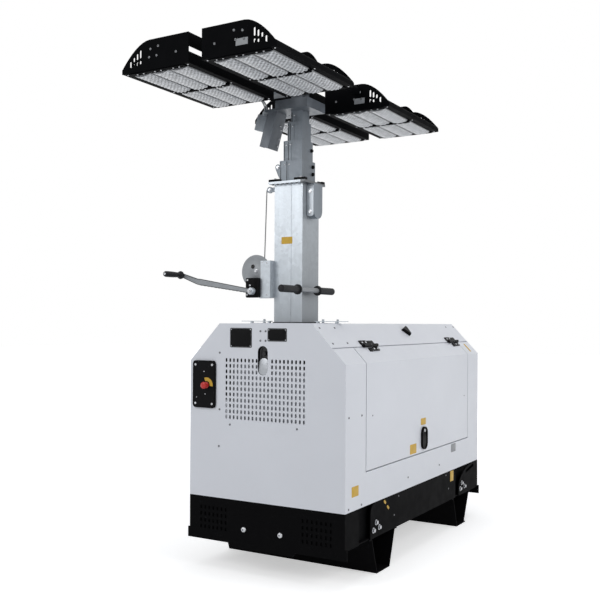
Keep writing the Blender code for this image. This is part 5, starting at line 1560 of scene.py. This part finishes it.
@dataclass
class Winch:
    """The winch's guard, nuts, rope winding and rope, and its brake's screws.

    Attributes:
        axis: X and Z of the drum's axis.
        gear_face: Y of the gear's near face.
        drum: first Y, last Y and radius of the bare drum.
        rope: radius of the rope.
        rope_ends: where the rope leaves the drum and where it meets the pulley.
        strand_pitch: length in which a strand goes once round the rope.
        brake: left, right, near Y, bottom and top of the brake's case.
        guard: radius and height of each ring of the gear's guard.
        frame_screws: X, Y and Z of the screws in the winch's frame.
        pin: X, Y and Z of the pulley's pin.
    """

    axis: tuple[float, float] = (-0.1825, 1.553)
    gear_face: float = -0.2405
    drum: tuple[float, float, float] = (-0.2320, -0.1445, 0.0182)
    rope: float = 0.003
    rope_ends: Spots = ((-0.1612, -0.1910, 1.5530), (-0.1463, -0.1910, 1.9900))
    strand_pitch: float = 0.036
    brake: tuple[float, float, float, float, float] = (-0.2266, -0.1466, -0.2745, 1.413, 1.518)
    guard: Spots = (
        (0.0885, 0.0002),
        (0.0885, 0.0012),
        (0.0872, 0.0020),
        (0.0760, 0.0020),
        (0.0740, 0.0011),
        (0.0250, 0.0011),
        (0.0230, 0.0020),
    )
    frame_screws: Spots = ((-0.107, -0.2495, 1.428), (-0.132, -0.2495, 1.600), (-0.107, -0.2495, 1.596))
    pin: tuple[float, float, float] = (-0.126, -0.197, 1.990)

    def winding(self) -> Surface:
        """The rope on the drum: radius is the drum's plus the rope's bulge, an arc once for each turn.

        Returns:
            The closed winding in its place.
        """
        start, end, radius = self.drum
        turns = int((end - start) / (2 * self.rope))
        along = np.linspace(0.0, end - start, turns * 5 + 1)
        swell = np.sqrt(np.abs(np.sin(np.pi * along / (end - start) * turns)))
        profile = np.column_stack((radius + 2 * self.rope * (0.15 + 0.85 * swell), along))
        return revolved(profile, 28).placed(facing(Axis.FAR), (self.axis[0], start, self.axis[1]))

    def twisted_rope(self, path: np.ndarray) -> Surface:
        """The laid rope: a tube whose radius dips between six strands, which turn with the length.

        Args:
            path: an array of (points, 3).

        Returns:
            The closed rope.
        """
        far = np.concatenate((np.zeros(1), np.cumsum(np.linalg.norm(np.diff(path, axis=0), axis=1))))
        along = np.gradient(path, axis=0)
        along /= np.linalg.norm(along, axis=1, keepdims=True)
        side = np.cross(along, np.array(Axis.FAR.value))
        side /= np.linalg.norm(side, axis=1, keepdims=True)
        across = np.cross(along, side)
        angle = np.linspace(0, 2 * np.pi, 36, endpoint=False)[None, :]
        turn = 2 * np.pi * far[:, None] / self.strand_pitch
        radius = self.rope * (1.0 - 0.13 * (1 - np.abs(np.sin(3 * (angle - turn)))) ** 2)
        ways = np.cos(angle)[..., None] * side[:, None] + np.sin(angle)[..., None] * across[:, None]
        return lofted(path[:, None] + radius[..., None] * ways)

    def lay_rope(self) -> None:
        """Builds the taut rope from the drum to the pulley, in place of the plain one."""
        path = np.linspace(self.rope_ends[0], self.rope_ends[1], 110)
        rope = self.twisted_rope(path).piece("laid_rope", "mast_base", ROPE_STEEL, 60.0)
        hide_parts("winch_rope")

    def build_gear(self) -> None:
        """Builds the gear's guard, the rim of the hole in it and the axle's nut."""
        near = facing(Axis.NEAR)
        across, level = self.axis
        guard = revolved(self.guard, 64).placed(near, (across, self.gear_face, level))
        guard.piece("gear_guard", "mast_base", DULL_ZINC, 25.0)
        rim = revolved(((0.0115, 0.0), (0.0115, 0.0018), (0.0095, 0.0026), (0.0085, 0.0010)), 24)
        place = (across - 0.0175, self.gear_face - 0.0010, level + 0.027)
        rim.placed(near, place).piece("guard_hole_rim", "mast_base", GLOSS_BLACK)
        place = (across + 0.0045, self.gear_face - 0.0018, level + 0.003)
        hex_bolt(0.0082, 0.009).placed(near, place).piece("axle_nut", "mast_base", BRIGHT_STEEL)

    def build(self) -> None:
        """Builds the guard, the nuts, the winding, the rope and the brake's screws."""
        self.build_gear()
        self.winding().piece("rope_winding", "mast_base", ROPE_STEEL, 60.0)
        self.lay_rope()
        left, right, face, bottom, top = self.brake
        spots = ((left + 0.014, top - 0.012), (left + 0.030, top - 0.040), (left + 0.012, bottom + 0.016))
        heads = [(across, face, level) for across, level in spots]
        screws("brake_screws", "mast_base", BRIGHT_STEEL, (0.0058, 0.004), heads, Axis.NEAR)
        ribs = [(right - 0.008 - 0.006 * number, face, (bottom + top) / 2) for number in range(3)]
        ribbed = scattered(slab(0.0025, 0.088, 0.0016, 0.001, 0.0005), ribs, Axis.NEAR)
        ribbed.piece("brake_ribs", "mast_base", BLACK_PLASTIC)
        screws("frame_screws", "mast_base", BRIGHT_STEEL, (0.0048, 0.003), self.frame_screws, Axis.NEAR)
        pin = hex_bolt(0.0065, 0.006).placed(facing(Axis.NEAR), self.pin)
        pin.piece("pulley_pin", "mast_base", BRIGHT_STEEL)


@dataclass
class Crank:
    """The winch's crank: a bent channel arm on a hub, with a black grip that points away from the mast.

    Attributes:
        hub: X, middle Y and Z of the hub.
        knee: the arm's bend, across and up from the hub.
        tip: the arm's end, across and up from the hub.
        heights: height of the arm's web at the hub, before the bend, after it and at the tip.
        sheet: thickness of the arm's metal.
        grip: radius of each ring of the grip, and how far it stands off the arm's middle.
    """

    hub: tuple[float, float, float] = (-0.1785, -0.2908, 1.447)
    knee: tuple[float, float] = (-0.3540, 0.0576)
    tip: tuple[float, float] = (-0.4604, 0.0945)
    heights: tuple[float, float, float, float] = (0.023, 0.034, 0.030, 0.022)
    sheet: float = 0.003
    grip: Spots = (
        (0.0150, 0.008),
        (0.0215, 0.010),
        (0.0225, 0.014),
        (0.0210, 0.020),
        (0.0150, 0.025),
        (0.0140, 0.044),
        (0.0160, 0.080),
        (0.0165, 0.120),
        (0.0160, 0.142),
        (0.0130, 0.149),
        (0.0060, 0.151),
    )

    def strip(self, path: np.ndarray, low: np.ndarray, high: np.ndarray, near: float, far: float) -> Surface:
        """A bar along the arm's line: at each point, four corners from its low to its high edge across the line.

        Args:
            path: the arm's line, (points, 2), across and up from the hub.
            low: lower edge at each point, measured across the line.
            high: upper edge at each point.
            near: Y of its near face.
            far: Y of its far face.

        Returns:
            The closed bar.
        """
        along = np.gradient(path, axis=0)
        along /= np.linalg.norm(along, axis=1, keepdims=True)
        normal = np.column_stack((along[:, 1], -along[:, 0]))
        corners = []
        for edge, spot in ((low, near), (high, near), (high, far), (low, far)):
            flat = path + edge[:, None] * normal + (self.hub[0], self.hub[2])
            corners.append(np.insert(flat, 1, spot, axis=1))
        return lofted(np.stack(corners, axis=1))

    def arm(self) -> Surface:
        """The channel: a web with a lip along each edge, and small teeth on the inner part's lower lip.

        Returns:
            Web and lips in their places.
        """
        knee, tip = np.array(self.knee), np.array(self.tip)
        share = np.linspace(0, 1, 61)[:, None]
        path = np.concatenate((share * knee, (knee + share * (tip - knee))[1:]))
        far = np.linspace(0, 2, len(path))
        half = np.interp(far, (0.0, 0.96, 1.0, 2.0), self.heights) / 2
        teeth = np.where(far < 0.94, 0.0016 * (np.arange(len(path)) // 2 % 2), 0.0)
        front, back = self.hub[1] - 0.006, self.hub[1] + 0.006
        web = self.strip(path, -half, half, front, front + self.sheet)
        upper = self.strip(path, half - self.sheet, half, front, back)
        lower = self.strip(path, -half - teeth, -half + self.sheet, front, back)
        return Surface.joined((web, upper, lower))

    def build(self) -> None:
        """Builds the arm in place of the plain crank, then its hub, nut, grip and the grip's screw."""
        arm = self.arm().piece("crank_arm", "crank", DULL_ZINC, 30.0)
        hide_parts("winch_crank")
        near = facing(Axis.NEAR)
        across, middle, level = self.hub
        hub = revolved(((0.019, -0.016), (0.019, 0.006), (0.017, 0.010), (0.0125, 0.011), (0.0120, 0.015)), 28)
        hub.placed(near, self.hub).piece("crank_hub", "crank", ZINC)
        nut = hex_bolt(0.0088, 0.010).placed(near, (across, middle - 0.0148, level))
        nut.piece("crank_nut", "crank", BRIGHT_STEEL)
        across, level = across + self.tip[0], level + self.tip[1]
        revolved(self.grip, 28).placed(near, (across, middle, level)).piece("crank_grip", "crank", GRIP_RUBBER)
        screw = button_screw(0.0070, 0.0040).placed(near, (across, middle - 0.1505, level))
        screw.piece("grip_screw", "crank", BRIGHT_STEEL)


@dataclass
class LampHead:
    """One lamp's optics and fasteners. Across runs outwards from its inner edge, up from its bottom.

    Attributes:
        side: the side that it hangs on.
        end: -1 for the near lamps and 1 for the far ones.
        spread: from the head's middle to the lamp's middle, across.
        along: from the mast to the lamp's middle, along.
        bottom: level of the lamp's bottom.
        width: across, from edge to edge.
        length: along, over the end plates.
        columns: first and last across of each column of optics.
        row: first and last along of the far row, mirrored for the near one.
        mesh: points across and along of an optic's sheet.
        bulge: how far the middle of an optic hangs below its edges.
        lens_pitch: from one small lens to the next of its line.
        lens_depth: how far a small lens stands out.
        bars: thickness of the bars under the lamp's ends and of the one under its middle.
        bar_inset: from the lamp's end to the middle of its bar.
        skin: how far the bars and screws are sunk into the lamp's bottom.
        bolt_across: across of the bolts in the bars and, first and last, in the rails.
        plate_bolts: across and up of the bolts in the end plates.
    """

    side: Side
    end: int
    spread: float = 0.2308
    along: float = 0.560
    bottom: float = 2.432
    width: float = 0.388
    length: float = 0.710
    columns: Spots = ((0.0355, 0.1332), (0.1422, 0.2398), (0.2488, 0.3465))
    row: tuple[float, float] = (0.0135, 0.3175)
    mesh: tuple[int, int] = (41, 123)
    bulge: float = 0.0095
    lens_pitch: float = 0.0244
    lens_depth: float = 0.0038
    bars: tuple[float, float] = (0.0045, 0.0115)
    bar_inset: float = 0.0205
    skin: float = 0.0005
    bolt_across: tuple[float, ...] = (0.018, 0.067, 0.101, 0.172, 0.207, 0.275, 0.311, 0.368)
    plate_bolts: Spots = ((0.2165, 0.0937), (0.1718, 0.1012), (0.2240, 0.0573), (0.1807, 0.0594), (0.0696, 0.0597))

    @property
    def name(self) -> str:
        """The lamp's place, as its body's name gives it."""
        return f"{'near' if self.end < 0 else 'far'}_{self.side.word}"

    def hang(self, surface: Surface, name: str, finish: Finish, smooth_deg: float = 35.0) -> bpy.types.Object:
        """A piece from a surface of the right-hand lamp's own frame, mirrored if need be and hung in its place.

        Args:
            surface: the surface.
            name: the piece's name without the lamp's.
            finish: its finish.
            smooth_deg: edges sharper than this stay sharp.

        Returns:
            The piece.
        """
        held = surface if self.side is Side.RIGHT else surface.mirrored()
        inner = HEAD_X + self.side.value * (self.spread - self.width / 2)
        hung = held.placed(np.eye(3), (inner, MAST_Y + self.end * self.along, self.bottom))
        return hung.piece(f"{name}_{self.name}", f"lamp_{self.name}", finish, smooth_deg)

    def optic(self, left: float, right: float, start: float, end: float) -> tuple[Surface, np.ndarray]:
        """One optic: a bulging sheet of small domes, as a function of the places across and along.

        Its level is minus the bulge times one minus the square of the share across, minus the lens depth
        times a product of two cosines, raised to lie between 0 and 1, so that the domes stand in a
        diagonal net. The sheet's edges are carried up to a flat back.

        Args:
            left: first place across.
            right: last place across.
            start: first place along.
            end: last place along.

        Returns:
            The closed optic, and how far each of its points stands out, from 0 to 1.
        """
        across, along = np.linspace(left, right, self.mesh[0]), np.linspace(start, end, self.mesh[1])
        wide, deep = np.meshgrid(across, along)
        share = 2 * (wide - left) / (right - left) - 1
        wave = 2 * np.pi / self.lens_pitch
        waves = np.cos(wave * (wide - left)) * np.cos(wave * (deep - start))
        rim = np.clip((1 - np.abs(share)) * 9, 0, 1)
        rise = (0.5 + 0.5 * waves) * rim
        level = -0.0006 - self.bulge * (1 - share**2) - self.lens_depth * rise
        sheet = np.stack((wide, deep, level), axis=-1)
        back = sheet[:, [-1, 0]].copy()
        back[..., 2] = 0.0
        shown = np.concatenate((rise, np.zeros((len(along), 2))), axis=1).ravel()
        return lofted(np.concatenate((sheet, back), axis=1)), np.append(shown, (0.0, 0.0))

    def optics(self) -> None:
        """Builds the lamp's six optics, with their rise as a mesh attribute."""
        first, last = self.row
        rows = ((-last, -first), (first, last))
        made = [self.optic(left, right, start, end) for left, right in self.columns for start, end in rows]
        piece = self.hang(Surface.joined(sheet for sheet, _ in made), "optics", OPTIC_NET, 70.0)
        layer = piece.data.attributes.new(OPTIC_NET.layer, "FLOAT", "POINT")
        layer.data.foreach_set("value", np.concatenate([rise for _, rise in made]).astype(np.float32))

    def fasteners(self) -> None:
        """Builds the bolted bars under the lamp and the bolts of both end plates."""
        half = self.length / 2
        end = half - self.bar_inset
        thin, thick = self.bars
        down = facing(Axis.DOWN, Axis.FAR)
        # along, width and thickness of each bar
        bars = ((0.0, 0.022, thick), (end, 0.030, thin), (-end, 0.030, thin))
        made = [
            slab(0.318, wide, deep, 0.003, 0.0010).placed(down, (0.191, spot, self.skin))
            for spot, wide, deep in bars
        ]
        self.hang(Surface.joined(made), "module_bars", LAMP_COAT)
        first, *inner, last = self.bolt_across
        spots = [(across, spot, self.skin - deep) for across in inner for spot, _, deep in bars]
        rail = (half - 0.020, 0.0, 0.020 - half)
        spots += [(across, spot, self.skin) for across in (first, last) for spot in rail]
        under = scattered(button_screw(0.0042, 0.0028), spots, Axis.DOWN, Axis.FAR)
        self.hang(under, "lamp_bolts", BRIGHT_STEEL)
        head = button_screw(0.0062, 0.0040)
        plates = [
            scattered(head, [(across, face, up) for across, up in self.plate_bolts], axis)
            for face, axis in ((-half, Axis.NEAR), (half, Axis.FAR))
        ]
        self.hang(Surface.joined(plates), "plate_bolts", SCREW_STEEL)

    def build(self) -> None:
        """Builds all of the lamp's pieces, the right-hand ones with a blank silver plate on the near end."""
        self.optics()
        self.fasteners()
        if self.side is Side.RIGHT:
            film = slab(0.062, 0.030, 0.0007, 0.002, 0.0003)
            place = (0.2125, -self.length / 2, 0.0470)
            self.hang(film.placed(facing(Axis.NEAR), place), "rating_film", GREY_FILM)


@dataclass
class Studio:
    """Camera, lights, floor and backdrop of a plain pale studio.

    Attributes:
        eye: the camera's place.
        azimuth_deg: how far it is turned from looking along +Y.
        roll_deg: how far it is rolled about its line of sight.
        focal_mm: its focal length on a 36 mm sensor.
        shift_up: how far its picture is shifted, as a share of the width.
        floor_half: half of the floor's width.
        lights: name, place, aim, size and watts of each light.
        sky: the light that the backdrop gives.
    """

    eye: tuple[float, float, float] = (2.3195, -4.0205, 1.286)
    azimuth_deg: float = 30.5
    roll_deg: float = 0.3
    focal_mm: float = 50.9
    shift_up: float = 0.0372
    floor_half: float = 30.0
    lights: tuple[tuple, ...] = (
        ("key", (-2.2, -5.2, 4.2), (0.0, 0.2, 1.5), 3.0, 112.0),
        ("side", (5.0, -0.4, 3.6), (0.0, 0.4, 1.0), 3.0, 96.0),
        ("top", (0.2, 0.6, 6.0), (0.0, 0.4, 1.0), 3.6, 70.0),
    )
    sky: tuple[float, float, float] = (0.36, 0.37, 0.385)

    def camera(self) -> None:
        """A level camera turned by its azimuth, then rolled about its own line of sight."""
        made = bpy.data.cameras.new("photo_camera")
        made.lens = self.focal_mm
        made.sensor_width = 36.0
        made.shift_y = self.shift_up
        made.clip_end = 200.0
        holder = bpy.data.objects.new("photo_camera", made)
        turn = Matrix.Rotation(math.radians(self.azimuth_deg), 4, "Z")
        turn @= Matrix.Rotation(math.pi / 2, 4, "X")
        turn @= Matrix.Rotation(math.radians(self.roll_deg), 4, "Z")
        holder.matrix_world = Matrix.Translation(Vector(self.eye)) @ turn
        bpy.context.scene.collection.objects.link(holder)
        bpy.context.scene.camera = holder

    def lamp(self, name: str, place: Sequence[float], aim: Sequence[float], size: float, watts: float) -> None:
        """A square soft light that the camera doesn't see.

        Args:
            name: of the light.
            place: where it hangs.
            aim: what it is turned to.
            size: length of its sides.
            watts: its power.
        """
        made = bpy.data.lights.new(name, "AREA")
        made.shape = "SQUARE"
        made.size = size
        made.energy = watts
        holder = bpy.data.objects.new(name, made)
        holder.location = place
        holder.visible_camera = False
        holder.rotation_euler = (Vector(aim) - Vector(place)).to_track_quat("-Z", "Y").to_euler()
        bpy.context.scene.collection.objects.link(holder)

    def world(self) -> None:
        """White to the camera, to mirrors and through glass, and a soft grey light for the rest."""
        world = bpy.data.worlds.new("studio_world")
        bpy.context.scene.world = world
        table = NodeTable(world, "Background")
        table.finish(Color=table.mixed(table.seen(), self.sky, (1.0, 1.0, 1.0)), Strength=1.0)

    def floor(self) -> None:
        """A wide pale floor, which is white to the camera apart from the shadow on it."""
        half = self.floor_half
        corners = np.array([(-half, -half, 0), (half, -half, 0), (half, half, 0), (-half, half, 0)], float)
        surface = Surface(corners, np.array([(0, 1, 2, 3)]))
        obj = bpy.data.objects.new("studio_floor", surface.mesh("studio_floor"))
        bpy.context.scene.collection.objects.link(obj)
        table = NodeTable(bpy.data.materials.new("studio_floor"))
        place = table.place()
        cloud = table.ramp(table.noise(place, 2.0, 3.0), 0.3, 0.7, 0.0, 1.0)
        pale = table.mixed(cloud, (0.87, 0.87, 0.87), (0.88, 0.88, 0.88))
        away = table.add("ShaderNodeVectorMath", {0: place}, operation="LENGTH").outputs["Value"]
        glow = table.result("MULTIPLY", table.ramp(away, 2.2, 6.0, 0.50, 1.0), table.seen())
        made = table.finish(
            Base_Color=pale,
            Emission_Color=(1.0, 1.0, 1.0, 1.0),
            Emission_Strength=glow,
            Roughness=0.9,
            Specular_IOR_Level=0.1,
        )
        obj.data.materials.append(made)

    def build(self) -> None:
        """Sets the view, then the camera, world, floor and lights."""
        bpy.context.scene.view_settings.view_transform = "Standard"
        self.camera()
        self.world()
        self.floor()
        for light in self.lights:
            self.lamp(*light)
        LOG.info("studio ready")


def dress_nodes(frame: dict) -> None:
    """Gives each CAD node its own finish, or the finish of its slot in the record.
    """
    for entry in frame["record"]["subparts"]:
        node = frame["nodes"][entry["node"]]
        finish = NODE_OVERRIDES.get(entry["node"], NODE_FINISHES[entry["material_slot"]])
        node.data.materials.clear()
        node.data.materials.append(finish.material())


def main() -> None:
    """Loads the frame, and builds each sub-assembly in order."""
    logging.basicConfig(level=logging.INFO, format="%(message)s")
    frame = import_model()
    Studio().build()
    dress_nodes(frame)
    parts = [Grille(), ControlBox(), Lock(), Plates(), CanopyTrim(), DoorFittings(), BaseFittings()]
    parts += [MastTrim(), HeadCables(), Winch(), Crank()]
    parts += [LampHead(side, end) for end in (-1, 1) for side in Side]
    for part in parts:
        part.build()
        LOG.info("%s ready", type(part).__name__)


if __name__ == "__main__":
    main()
